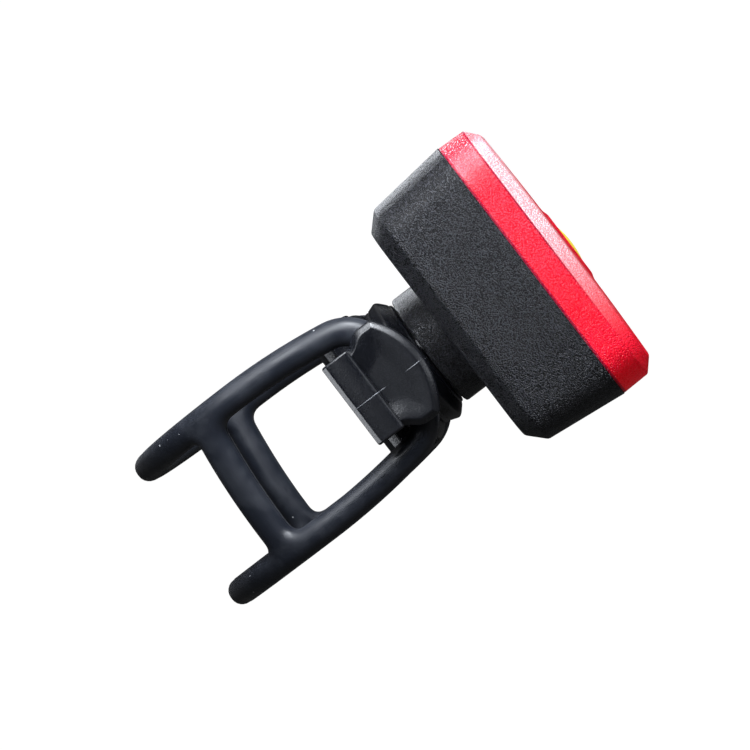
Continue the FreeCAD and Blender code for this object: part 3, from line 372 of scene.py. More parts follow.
def plate(loops: Sequence[np.ndarray], edge: np.ndarray, spacing: float) -> Surface:
    """Plate with rounded rims: a strip carried round every loop, and a filled face at each end of the strip.

    A point of the strip is the loop's point (u, v) drawn in by a row's inset, at that row's level.

    Args:
        loops: the outline first, then its windows.
        edge: rows (inset, level) from the lower face to the upper one.
        spacing: distance between the points inside the faces.

    Returns:
        The closed plate, as points (u, v, level).
    """
    sense = [turned_to(loop, i == 0) for i, loop in enumerate(loops)]
    skins = []
    for loop in sense:
        rows = [np.column_stack([drawn_in(loop, inset), np.full(len(loop), level)]) for inset, level in edge]
        skins.append(woven(np.stack(rows), capped=False))
    for inset, level in (edge[0], edge[-1]):
        flat, tris = face_between([drawn_in(loop, inset) for loop in sense], spacing)
        skins.append(Surface(np.column_stack([flat, np.full(len(flat), level)]), np.empty((0, 4), int), tris))
    return gathered(skins)


def rim(thickness: float, radius: float, steps: int, flash: float = 0.0) -> np.ndarray:
    """Rows (inset, level) of a rim with quarter-round corners and, where asked for, a proud line of flash.

    The upper corner is (r - r cos a, T / 2 - r + r sin a), with a from the side to the top. The lower one
    mirrors it.

    Args:
        thickness: the plate's thickness T.
        radius: the corners' radius r.
        steps: steps on each corner.
        flash: how far the line of flash stands out.

    Returns:
        The rows from the lower face to the upper one.
    """
    flash_foot, flash_tip = 0.09, 0.02
    a = np.linspace(0, math.pi / 2, steps + 1)
    upper = np.column_stack([radius - radius * np.cos(a), thickness / 2 - radius + radius * np.sin(a)])
    lower = upper[::-1] * np.array([1.0, -1.0])
    if flash <= 0:
        return np.vstack([lower, upper])
    ridge = np.array([[0, -flash_foot], [-flash, -flash_tip], [-flash, flash_tip], [0, flash_foot]])
    return np.vstack([lower, ridge, upper])


class Shading(Enum):
    """How the faces of a piece meet in its shading."""

    SOFT = 60.0
    CRISP = 32.0


def closed_mesh(name: str, skin: Surface) -> bpy.types.Mesh:
    """Mesh of a skin in metres, with its seams welded and its faces turned outwards.

    Args:
        name: the mesh's name.
        skin: the surface in millimetres.

    Returns:
        The mesh.
    """
    mesh = bpy.data.meshes.new(name)
    mesh.from_pydata((skin.points * MM).tolist(), [], skin.quads.tolist() + skin.tris.tolist())
    bm = bmesh.new()
    bm.from_mesh(mesh)
    bmesh.ops.remove_doubles(bm, verts=bm.verts, dist=WELD)
    bmesh.ops.dissolve_degenerate(bm, edges=bm.edges, dist=SLIVER)
    bmesh.ops.recalc_face_normals(bm, faces=bm.faces)
    bm.to_mesh(mesh)
    bm.free()
    return mesh


def shaded(mesh: bpy.types.Mesh, shading: Shading) -> None:
    """Shades a mesh smooth, except where its faces turn by more than the shading's degrees."""
    mesh.polygons.foreach_set("use_smooth", np.ones(len(mesh.polygons), bool))
    mesh.set_sharp_from_angle(angle=math.radians(shading.value))


def as_piece(name: str, skin: Surface, finish: bpy.types.Material, body: str, stands_for: str,
             shading: Shading = Shading.CRISP) -> bpy.types.Object:
    """Makes a mesh of a skin and puts it on a body in place of the CAD node that it stands for.

    Args:
        name: the piece's name.
        skin: its surface in millimetres.
        finish: its material.
        body: the moving body that carries it.
        stands_for: the CAD node that it replaces.
        shading: at which turn an edge counts as sharp.

    Returns:
        The object.
    """
    mesh = closed_mesh(name, skin)
    shaded(mesh, shading)
    mesh.materials.append(finish)
    piece = bpy.data.objects.new(name, mesh)
    bpy.context.scene.collection.objects.link(piece)
    weights = piece.modifiers.new("even_shading", "WEIGHTED_NORMAL")
    weights.keep_sharp = True
    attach(piece, body)
    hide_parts(stands_for)
    log.info("%s: %d points, %d faces", name, len(mesh.vertices), len(mesh.polygons))
    return piece


# Finishes

def spaced(inputs: dict[str, object]) -> dict[str, object]:
    """The same inputs, with underscores in their names read as spaces."""
    return {key.replace("_", " "): value for key, value in inputs.items()}


class Sheet:
    """Adds nodes to a node tree and joins their sockets."""

    def __init__(self, tree: bpy.types.NodeTree) -> None:
        """Keeps the tree and clears it."""
        self.tree = tree
        tree.nodes.clear()

    def add(self, kind: str, inputs: dict | None = None, **settings: object) -> bpy.types.Node:
        """Adds a node.

        Args:
            kind: the node's type.
            inputs: input name or number to a value or to another node's output socket.
            settings: the node's own properties.

        Returns:
            The node.
        """
        node = self.tree.nodes.new(kind)
        for key, value in settings.items():
            setattr(node, key, value)
        for key, value in (inputs or {}).items():
            socket = node.inputs[key]
            if isinstance(value, bpy.types.NodeSocket):
                self.tree.links.new(value, socket)
            else:
                socket.default_value = value
        return node

    def math(self, operation: str, *values: object) -> bpy.types.NodeSocket:
        """Result of a math node on two or three numbers or sockets."""
        return self.add("ShaderNodeMath", dict(enumerate(values)), operation=operation).outputs[0]

    def times(self, first: object, *others: object) -> bpy.types.NodeSocket:
        """Product of the values, one multiplication after the other.

        Args:
            first: a number or socket.
            others: the numbers or sockets that it is multiplied by.

        Returns:
            The product.
        """
        product = first
        for other in others:
            product = self.math("MULTIPLY", product, other)
        return product

    def line(self, value: object, slope: float, start: object) -> bpy.types.NodeSocket:
        """A value times a slope, plus a start."""
        return self.math("MULTIPLY_ADD", value, slope, start)

    def ramp(self, value: object, low: float, high: float, to_low: float = 0.0,
             to_high: float = 1.0) -> bpy.types.NodeSocket:
        """Smooth step of a value from one range to another."""
        inputs = {0: value, 1: low, 2: high, 3: to_low, 4: to_high}
        return self.add("ShaderNodeMapRange", inputs, interpolation_type="SMOOTHSTEP").outputs[0]

    def mixed(self, factor: object, a: object, b: object) -> bpy.types.NodeSocket:
        """Colour between two colours."""
        return self.add("ShaderNodeMix", {0: factor, 6: a, 7: b}, data_type="RGBA").outputs[2]

    def noise(self, at: object, scale: object, detail: float, **more: float) -> bpy.types.NodeSocket:
        """Value of a noise texture, with its scale per metre and any further inputs by their names."""
        inputs = {"Vector": at, "Scale": scale, "Detail": detail, **more}
        return self.add("ShaderNodeTexNoise", inputs).outputs[0]

    def bump(self, height: object, depth: float, strength: float = 1.0) -> bpy.types.NodeSocket:
        """Normal bent by a height, with the depth in millimetres."""
        inputs = {"Strength": strength, "Distance": depth * MM, "Height": height}
        return self.add("ShaderNodeBump", inputs).outputs[0]

    def place(self) -> bpy.types.NodeSocket:
        """Object coordinates."""
        return self.add("ShaderNodeTexCoord").outputs["Object"]

    def effect(self, group: bpy.types.NodeTree, **inputs: object) -> bpy.types.Node:
        """Places a shared effect."""
        return self.add("ShaderNodeGroup", spaced(inputs), node_tree=group)

    def principled(self, **inputs: object) -> None:
        """Ends a material with the Principled shader and the output."""
        shader = self.add("ShaderNodeBsdfPrincipled", spaced(inputs))
        self.add("ShaderNodeOutputMaterial", {"Surface": shader.outputs[0]})


def group_sheet(name: str, numbers: dict[str, float],
                masks: Sequence[str] = ("Mask",)) -> tuple[Sheet, Sequence[bpy.types.NodeSocket]]:
    """Starts a shader node group that takes a place and some numbers and gives masks.

    Args:
        name: the group's name.
        numbers: each number's name and its default.
        masks: the outputs' names.

    Returns:
        The group's sheet, and the sockets inside it that hold the place and then the numbers.
    """
    tree = bpy.data.node_groups.new(name, "ShaderNodeTree")
    tree.interface.new_socket("Place", in_out="INPUT", socket_type="NodeSocketVector")
    for key, default in numbers.items():
        socket = tree.interface.new_socket(key, in_out="INPUT", socket_type="NodeSocketFloat")
        socket.default_value = default
    for key in masks:
        tree.interface.new_socket(key, in_out="OUTPUT", socket_type="NodeSocketFloat")
    sheet = Sheet(tree)
    return sheet, sheet.add("NodeGroupInput").outputs


class Effects:
    """Shader node groups that several finishes share, each built once."""

    def __init__(self) -> None:
        """Builds the groups."""
        self.grain = self._grain()
        self.dust = self._dust()
        self.edge_lightening = self._edge_lightening()
        self.smudge = self._smudge()
        self.flash = self._flash()

    def _flash(self) -> bpy.types.NodeTree:
        """Thin broken lines of moulding flash at one level of z, where the mould's halves met.

        A line fades from its middle's half width to its edge, both in metres.

        Returns:
            The group.
        """
        middle, edge = 0.00001, 0.000055
        s, (place, level, *_) = group_sheet("flash_line", {"Level": 0.0})
        z = s.add("ShaderNodeSeparateXYZ", {0: place}).outputs[2]
        thin = s.ramp(s.math("ABSOLUTE", s.math("SUBTRACT", z, level)), middle, edge, 1.0, 0.0)
        broken = s.times(thin, s.ramp(s.noise(place, 330.0, 2.0), 0.46, 0.6))
        s.add("NodeGroupOutput", {"Mask": broken})
        return s.tree

    def _grain(self) -> bpy.types.NodeTree:
        """Spark-eroded mould grain: soft worm-like hills from a bent noise, with finer noise over them.

        Returns:
            The group.
        """
        finer, fine_share = 2.3, 0.3
        s, (place, per_metre, *_) = group_sheet("mould_grain", {"Per Metre": 2200.0}, ("Height", "Peaks"))
        coarse = s.noise(place, per_metre, 1.0, Roughness=0.4, Distortion=0.5)
        fine = s.noise(place, s.times(per_metre, finer), 1.0)
        height = s.line(fine, fine_share, s.ramp(coarse, 0.36, 0.64))
        s.add("NodeGroupOutput", {"Height": height, "Peaks": s.ramp(coarse, 0.42, 0.62)})
        return s.tree

    def _dust(self) -> bpy.types.NodeTree:
        """Specks: the hearts of a random few cells of a Voronoi pattern, each with a size of its own.

        Returns:
            The group.
        """
        smallest, spread = 0.05, 0.055
        s, (place, per_metre, share, *_) = group_sheet("dust", {"Per Metre": 900.0, "Share": 0.12})
        cells = s.add("ShaderNodeTexVoronoi", {"Vector": place, "Scale": per_metre})
        draws = s.add("ShaderNodeSeparateColor", {0: cells.outputs["Color"]}).outputs
        chosen = s.math("LESS_THAN", draws[0], share)
        near = s.math("LESS_THAN", cells.outputs["Distance"], s.line(draws[1], spread, smallest))
        s.add("NodeGroupOutput", {"Mask": s.times(chosen, near)})
        return s.tree

    def _edge_lightening(self) -> bpy.types.NodeTree:
        """Lighter edges: where the surface is pointed, broken up by noise.

        Returns:
            The group.
        """
        s, (place, amount, *_) = group_sheet("pointed_edge_lightening", {"Amount": 1.0})
        pointed = s.ramp(s.add("ShaderNodeNewGeometry").outputs["Pointiness"], 0.505, 0.56)
        broken = s.ramp(s.noise(place, 700.0, 3.0), 0.35, 0.7)
        s.add("NodeGroupOutput", {"Mask": s.times(pointed, broken, amount)})
        return s.tree

    def _smudge(self) -> bpy.types.NodeTree:
        """Handling marks: wide soft patches that change the gloss.

        Returns:
            The group.
        """
        s, (place, per_metre, *_) = group_sheet("smudge", {"Per Metre": 130.0})
        patches = s.noise(place, per_metre, 4.0, Roughness=0.6, Distortion=0.4)
        s.add("NodeGroupOutput", {"Mask": s.ramp(patches, 0.38, 0.66)})
        return s.tree


def started(name: str) -> tuple[bpy.types.Material, Sheet]:
    """Starts a material that nodes make.

    Args:
        name: its name.

    Returns:
        The new material, and the sheet of its node tree.
    """
    material = bpy.data.materials.new(name)
    material.use_nodes = True
    return material, Sheet(material.node_tree)


@dataclass(frozen=True)
class MouldedPlastic:
    """Black moulded plastic: grain whose high points are painted paler as a highlight, specks of dust,
    handling marks and lines of flash painted pale as a highlight.
    """

    name: str
    base: Colour
    peak_highlight: Colour
    roughness: Span
    grain_per_metre: float
    grain_depth: float
    dust_share: float = 0.05
    lines: tuple[float, ...] = ()
    specular: float = 0.5
    dusty: Colour = (0.4, 0.4, 0.42, 1.0)
    flash_highlight: Colour = (0.2, 0.21, 0.23, 1.0)
    flash_height: float = 6.0

    def build(self, effects: Effects) -> bpy.types.Material:
        """The material.

        Args:
            effects: the shared node groups.

        Returns:
            The built material.
        """
        material, s = started(self.name)
        at = s.place()
        grain = s.effect(effects.grain, Place=at, Per_Metre=self.grain_per_metre).outputs
        dust = s.effect(effects.dust, Place=at, Share=self.dust_share).outputs[0]
        smudge = s.effect(effects.smudge, Place=at).outputs[0]
        # Painted highlight: the grain's high points are painted paler than the rest
        tone = s.mixed(s.math("POWER", grain["Peaks"], 2.0), self.base, self.peak_highlight)
        tone = s.mixed(s.times(dust, 0.3), tone, self.dusty)
        rough = s.math("MAXIMUM", s.ramp(smudge, 0.0, 1.0, *self.roughness), s.times(dust, 0.85))
        height = grain["Height"]
        for level in self.lines:
            flash = s.effect(effects.flash, Place=at, Level=level * MM).outputs[0]
            # Painted highlight: each line of flash is painted pale, as well as being raised in the bump
            tone = s.mixed(flash, tone, self.flash_highlight)
            height = s.line(flash, self.flash_height, height)
        s.principled(Base_Color=tone, Roughness=rough, Normal=s.bump(height, self.grain_depth),
                     Specular_IOR_Level=self.specular)
        return material


@dataclass(frozen=True)
class Silicone:
    """Blue-black silicone: a satin, softly wavy skin with a faint bloom, edges painted lighter where pointed
    and clinging dust.
    """

    name: str
    base: Colour
    roughness: float = 0.44
    dust_share: float = 0.3
    bloom: Colour = (0.032, 0.036, 0.046, 1.0)
    pale_edge: Colour = (0.09, 0.1, 0.115, 1.0)
    dusty: Colour = (0.6, 0.61, 0.64, 1.0)
    skin_depth: float = 0.006

    def build(self, effects: Effects) -> bpy.types.Material:
        """The material.

        Args:
            effects: the shared node groups.

        Returns:
            The built material.
        """
        material, s = started(self.name)
        at = s.place()
        dust = s.effect(effects.dust, Place=at, Per_Metre=900.0, Share=self.dust_share).outputs[0]
        smudge = s.effect(effects.smudge, Place=at, Per_Metre=210.0).outputs[0]
        edge_lightening = s.effect(effects.edge_lightening, Place=at, Amount=0.5).outputs[0]
        tone = s.mixed(s.times(smudge, 0.35), self.base, self.bloom)
        # Lighter where the surface is pointed
        tone = s.mixed(s.times(edge_lightening, 0.3), tone, self.pale_edge)
        tone = s.mixed(s.times(dust, 0.8), tone, self.dusty)
        rough = s.ramp(smudge, 0.0, 1.0, self.roughness - 0.06, self.roughness + 0.1)
        height = s.line(s.noise(at, 260.0, 1.0), 4.0, s.noise(at, 5200.0, 2.0))
        height = s.line(dust, 2.0, height)
        s.principled(Base_Color=tone, Roughness=rough, Normal=s.bump(height, self.skin_depth, 0.8),
                     Sheen_Weight=0.06, Sheen_Roughness=0.4, Specular_IOR_Level=0.45)
        return material


@dataclass(frozen=True)
class RedLensPlastic:
    """Red lens: a painted glow by emission in a red body, sparkling grain, and a chamfer band of frosting and
    painted highlight.

    The band's and the seam's places are distances from the post in millimetres. The heights z between which
    the painted shine, the painted highlight under the upper edge and the speckled upper corner come in are in
    metres, as the shader reads them.
    """

    name: str
    band_out: Span
    seam_out: float
    shine_z: Span = (-0.015, 0.006)
    top_highlight_z: Span = (0.0105, 0.0155)
    corner_z: Span = (0.0158, 0.0176)
    frost_and_highlight: Colour = (1.0, 0.77, 0.8, 1.0)
    top_highlight: Colour = (1.0, 0.55, 0.6, 1.0)
    seam_and_edge_dark: Colour = (0.26, 0.0, 0.025, 1.0)
    grain_depth: float = 0.065
    # glow: strength of the painted glow by emission
    glow: float = 0.28

    def build(self, effects: Effects) -> bpy.types.Material:
        """The material.

        Args:
            effects: the shared node groups.

        Returns:
            The built material.
        """
        material, s = started(self.name)
        at = s.place()
        axes = s.add("ShaderNodeSeparateXYZ", {0: at}).outputs
        out, z = s.times(axes[1], -1.0 / MM), axes[2]
        grain = s.effect(effects.grain, Place=at, Per_Metre=4800.0).outputs
        cloud = s.effect(effects.smudge, Place=at, Per_Metre=95.0).outputs[0]
        speck = s.noise(at, 5200.0, 2.0, Roughness=0.6)
        sparkle = s.ramp(speck, 0.47, 0.6)
        upper = s.ramp(z, *self.shine_z)
        mostly_upper = s.line(upper, 0.85, 0.15)
        corner = s.ramp(z, *self.corner_z)
        # The body: cloudy red, with a painted highlight on the grain's high points and painted shade in its
        # pits, both stronger towards the top, where the light falls
        tone = s.mixed(s.times(cloud, 0.4), (0.86, 0.002, 0.022, 1.0), (0.93, 0.008, 0.045, 1.0))
        tone = s.mixed(s.times(grain["Peaks"], s.line(upper, 0.36, 0.05)), tone, (1.0, 0.09, 0.13, 1.0))
        tone = s.mixed(s.times(s.line(grain["Peaks"], -0.6, 0.6), mostly_upper), tone, (0.4, 0.0, 0.015, 1.0))
        # The chamfer's band of frosting, painted pale as a highlight that fades out downwards and towards the
        # upper corner
        start, end = self.band_out
        band = s.times(s.ramp(out, start - 0.05, start + 0.1), s.ramp(out, end - 0.15, end + 0.05, 1.0, 0.0))
        frost_and_highlight_mask = s.times(band, s.line(sparkle, 0.55, 0.5), upper, s.line(corner, -0.5, 1.0))
        tone = s.mixed(frost_and_highlight_mask, tone, self.frost_and_highlight)
        # Painted highlight under the upper edge, and the speckled corner above it
        top_highlight_mask = s.times(s.ramp(z, *self.top_highlight_z), s.ramp(cloud, -0.3, 0.7), s.line(sparkle, 0.5, 0.45))
        tone = s.mixed(top_highlight_mask, tone, self.top_highlight)
        # The upper corner is painted darker red, with pale specks as painted glints
        speckled_corner = s.mixed(s.ramp(speck, 0.56, 0.66), (0.32, 0.0, 0.02, 1.0), (1.0, 0.6, 0.66, 1.0))
        tone = s.mixed(s.times(corner, s.line(band, -0.5, 0.85)), tone, speckled_corner)
        # A dark line at the seam, where the cover meets the housing, and painted shade along the edge where
        # the side meets the chamfer, stronger towards the top
        seam = s.ramp(out, self.seam_out + 0.22, self.seam_out + 0.4, 1.0, 0.0)
        edge = s.times(s.ramp(out, start - 0.24, start - 0.12),
                       s.ramp(out, start - 0.02, start + 0.1, 1.0, 0.0), mostly_upper)
        seam_and_edge_shade = s.times(s.math("MAXIMUM", seam, edge), 0.95)
        tone = s.mixed(seam_and_edge_shade, tone, self.seam_and_edge_dark)
        # Painted glow by emission, standing in for light that passes through the red body: dimmer in the
        # grain's pits, the lines and the corner
        glow = s.mixed(cloud, (0.86, 0.0, 0.006, 1.0), (1.0, 0.0, 0.03, 1.0))
        glow = s.mixed(grain["Peaks"], (0.68, 0.0, 0.003, 1.0), glow)
        glow = s.mixed(s.math("MAXIMUM", seam_and_edge_shade, s.times(corner, 0.6)), glow, (0.2, 0.0, 0.004, 1.0))
        rough = s.line(cloud, 0.06, s.line(band, 0.2, 0.3))
        normal = s.bump(s.line(speck, 0.5, grain["Height"]), self.grain_depth)
        s.principled(Base_Color=tone, Roughness=rough, Normal=normal, Subsurface_Weight=0.2,
                     Subsurface_Radius=(1.0, 0.06, 0.06), Subsurface_Scale=2.2 * MM, Coat_Weight=0.08,
                     Coat_Roughness=0.22, Specular_IOR_Level=0.3, Emission_Color=glow,
                     Emission_Strength=self.glow)
        return material


@dataclass(frozen=True)
class SoftPlastic:
    """Coloured or white plastic with slight cloudiness, finger marks, dust and a painted glow by emission
    where asked for, such as the button's.
    """

    name: str
    base: Colour
    shade: Colour
    roughness: float = 0.35
    depth: float = 0.0
    # lit: strength of a painted glow by emission, in the base colour
    lit: float = 0.0
    dusty: Colour = (0.4, 0.38, 0.34, 1.0)
    skin_depth: float = 0.008

    def build(self, effects: Effects) -> bpy.types.Material:
        """The material.

        Args:
            effects: the shared node groups.

        Returns:
            The built material.
        """
        material, s = started(self.name)
        at = s.place()
        smudge = s.effect(effects.smudge, Place=at, Per_Metre=300.0).outputs[0]
        dust = s.effect(effects.dust, Place=at, Per_Metre=1500.0, Share=0.05).outputs[0]
        tone = s.mixed(s.times(dust, 0.25), s.mixed(smudge, self.base, self.shade), self.dusty)
        rough = s.ramp(smudge, 0.0, 1.0, self.roughness - 0.07, self.roughness + 0.1)
        normal = s.bump(s.noise(at, 3800.0, 2.0), self.skin_depth, 0.5)
        # Emission puts a painted glow in the base colour, as strong as lit
        s.principled(Base_Color=tone, Roughness=rough, Normal=normal, Subsurface_Weight=self.depth,
                     Subsurface_Radius=(1.0, 0.8, 0.3), Subsurface_Scale=1.2 * MM, Emission_Color=self.base,
                     Emission_Strength=self.lit)
        return material


@dataclass(frozen=True)
class Metal:
    """Plated or foil metal with fine drawn scratches and duller patches."""

    name: str
    base: Colour
    dull: Colour
    roughness: Span
    drawn: float = 0.06
    scratch_depth: float = 0.003

    def build(self, effects: Effects) -> bpy.types.Material:
        """The material.

        Args:
            effects: the shared node groups.

        Returns:
            The built material.
        """
        material, s = started(self.name)
        at = s.place()
        stretched = s.add("ShaderNodeMapping", {"Vector": at, "Scale": (1.0, 1.0, self.drawn)}).outputs[0]
        scratches = s.noise(stretched, 9000.0, 3.0)
        smudge = s.effect(effects.smudge, Place=at, Per_Metre=420.0).outputs[0]
        tone = s.mixed(s.times(smudge, 0.7), self.base, self.dull)
        rough = s.line(scratches, 0.1, s.ramp(smudge, 0.0, 1.0, *self.roughness))
        normal = s.bump(scratches, self.scratch_depth, 0.4)
        s.principled(Base_Color=tone, Metallic=1.0, Roughness=rough, Normal=normal)
        return material


@dataclass(frozen=True)
class BoardMask:
    """Circuit board: green solder mask over a faint net of copper tracks."""

    name: str
    mask: Colour = (0.012, 0.1, 0.045, 1.0)
    track: Colour = (0.03, 0.2, 0.09, 1.0)
    track_depth: float = 0.03

    def build(self, effects: Effects) -> bpy.types.Material:
        """The material.

        Args:
            effects: the shared node groups.

        Returns:
            The built material.
        """
        material, s = started(self.name)
        at = s.place()
        net = {"Vector": at, "Scale": 420.0, "Mortar Size": 0.06, "Mortar Smooth": 0.4}
        tracks = s.add("ShaderNodeTexBrick", net).outputs["Fac"]
        smudge = s.effect(effects.smudge, Place=at).outputs[0]
        tone = s.mixed(s.times(tracks, 0.5), self.mask, self.track)
        rough = s.ramp(smudge, 0.0, 1.0, 0.28, 0.42)
        s.principled(Base_Color=tone, Roughness=rough, Normal=s.bump(tracks, self.track_depth, 0.5))
        return material


class Finishes:
    """Every finish of the light, built once."""

    def __init__(self) -> None:
        """Builds the materials."""
        fx = Effects()
        self.housing = MouldedPlastic(
            "grained_black", (0.0002, 0.0002, 0.0004, 1.0), (0.038, 0.039, 0.047, 1.0), (0.28, 0.36),
            grain_per_metre=6000.0, grain_depth=0.1, dust_share=0.02, specular=0.42).build(fx)
        self.nylon = MouldedPlastic(
            "smooth_black", (0.0035, 0.004, 0.0058, 1.0), (0.0075, 0.0082, 0.0105, 1.0), (0.22, 0.32),
            grain_per_metre=5200.0, grain_depth=0.005, dust_share=0.1, lines=(-0.6,)).build(fx)
        self.chip = MouldedPlastic(
            "chip_resin", (0.02, 0.02, 0.021, 1.0), (0.035, 0.035, 0.036, 1.0), (0.45, 0.6),
            grain_per_metre=4200.0, grain_depth=0.01).build(fx)
        self.strap = Silicone("blue_black_silicone", (0.0092, 0.0114, 0.0178, 1.0)).build(fx)
        self.grip = Silicone("grip_rubber", (0.012, 0.012, 0.0125, 1.0), 0.62, 0.08).build(fx)
        self.foam = Silicone("grey_foam", (0.2, 0.2, 0.21, 1.0), 0.85, 0.1).build(fx)
        self.lens = RedLensPlastic("red_lens", band_out=(43.0, 44.75), seam_out=39.3).build(fx)
        self.yellow = SoftPlastic("yellow_button", (0.95, 0.78, 0.08, 1.0), (0.9, 0.66, 0.04, 1.0), 0.3,
                                  depth=0.25, lit=0.4).build(fx)
        self.white = SoftPlastic("frosted_white", (0.82, 0.82, 0.82, 1.0), (0.7, 0.71, 0.72, 1.0), 0.5,
                                 depth=0.1).build(fx)
        self.resin = SoftPlastic("led_resin", (0.86, 0.76, 0.3, 1.0), (0.8, 0.7, 0.24, 1.0), 0.15,
                                 depth=0.2).build(fx)
        self.steel = Metal("zinc_steel", (0.34, 0.34, 0.36, 1.0), (0.22, 0.22, 0.24, 1.0),
                           (0.28, 0.42)).build(fx)
        self.nickel = Metal("nickel", (0.62, 0.6, 0.56, 1.0), (0.5, 0.49, 0.46, 1.0), (0.2, 0.34)).build(fx)
        self.mirror = Metal("bright_metallised", (0.86, 0.86, 0.87, 1.0), (0.78, 0.78, 0.8, 1.0),
                            (0.06, 0.16)).build(fx)
        self.foil = Metal("cell_foil", (0.6, 0.61, 0.64, 1.0), (0.5, 0.51, 0.54, 1.0), (0.3, 0.45)).build(fx)
        self.board = BoardMask("solder_mask").build(fx)


# Sub-assemblies

@dataclass
class StrapPath:
    """The line of the strap's middle: half a turn round the back of the post, then straight to each tip."""

    post_r: float = 13.6
    thickness: float = 3.65

    @property
    def middle_r(self) -> float:
        """Radius of the strap's middle line."""
        return self.post_r + self.thickness / 2

    @property
    def quarter(self) -> float:
        """Length from the back of the post to its side."""
        return self.middle_r * math.pi / 2

    def bent(self, points: np.ndarray) -> np.ndarray:
        """Sends (s, w, level) to x, y, z.

        With s clipped to the half turn, the angle is s / R and the middle is (-R sin, R cos). The rest of s
        runs straight towards -y. The level goes outwards along (-sin, cos), and w is z.

        Args:
            points: array of s, w and level.

        Returns:
            Array of x, y and z.
        """
        s, w, level = points.T
        turn = np.clip(s, -self.quarter, self.quarter) / self.middle_r
        rest = np.abs(s) - self.quarter
        r = self.middle_r + level
        x = -r * np.sin(turn)
        y = r * np.cos(turn) - np.maximum(rest, 0.0)
        return np.stack([x, y, w], -1)


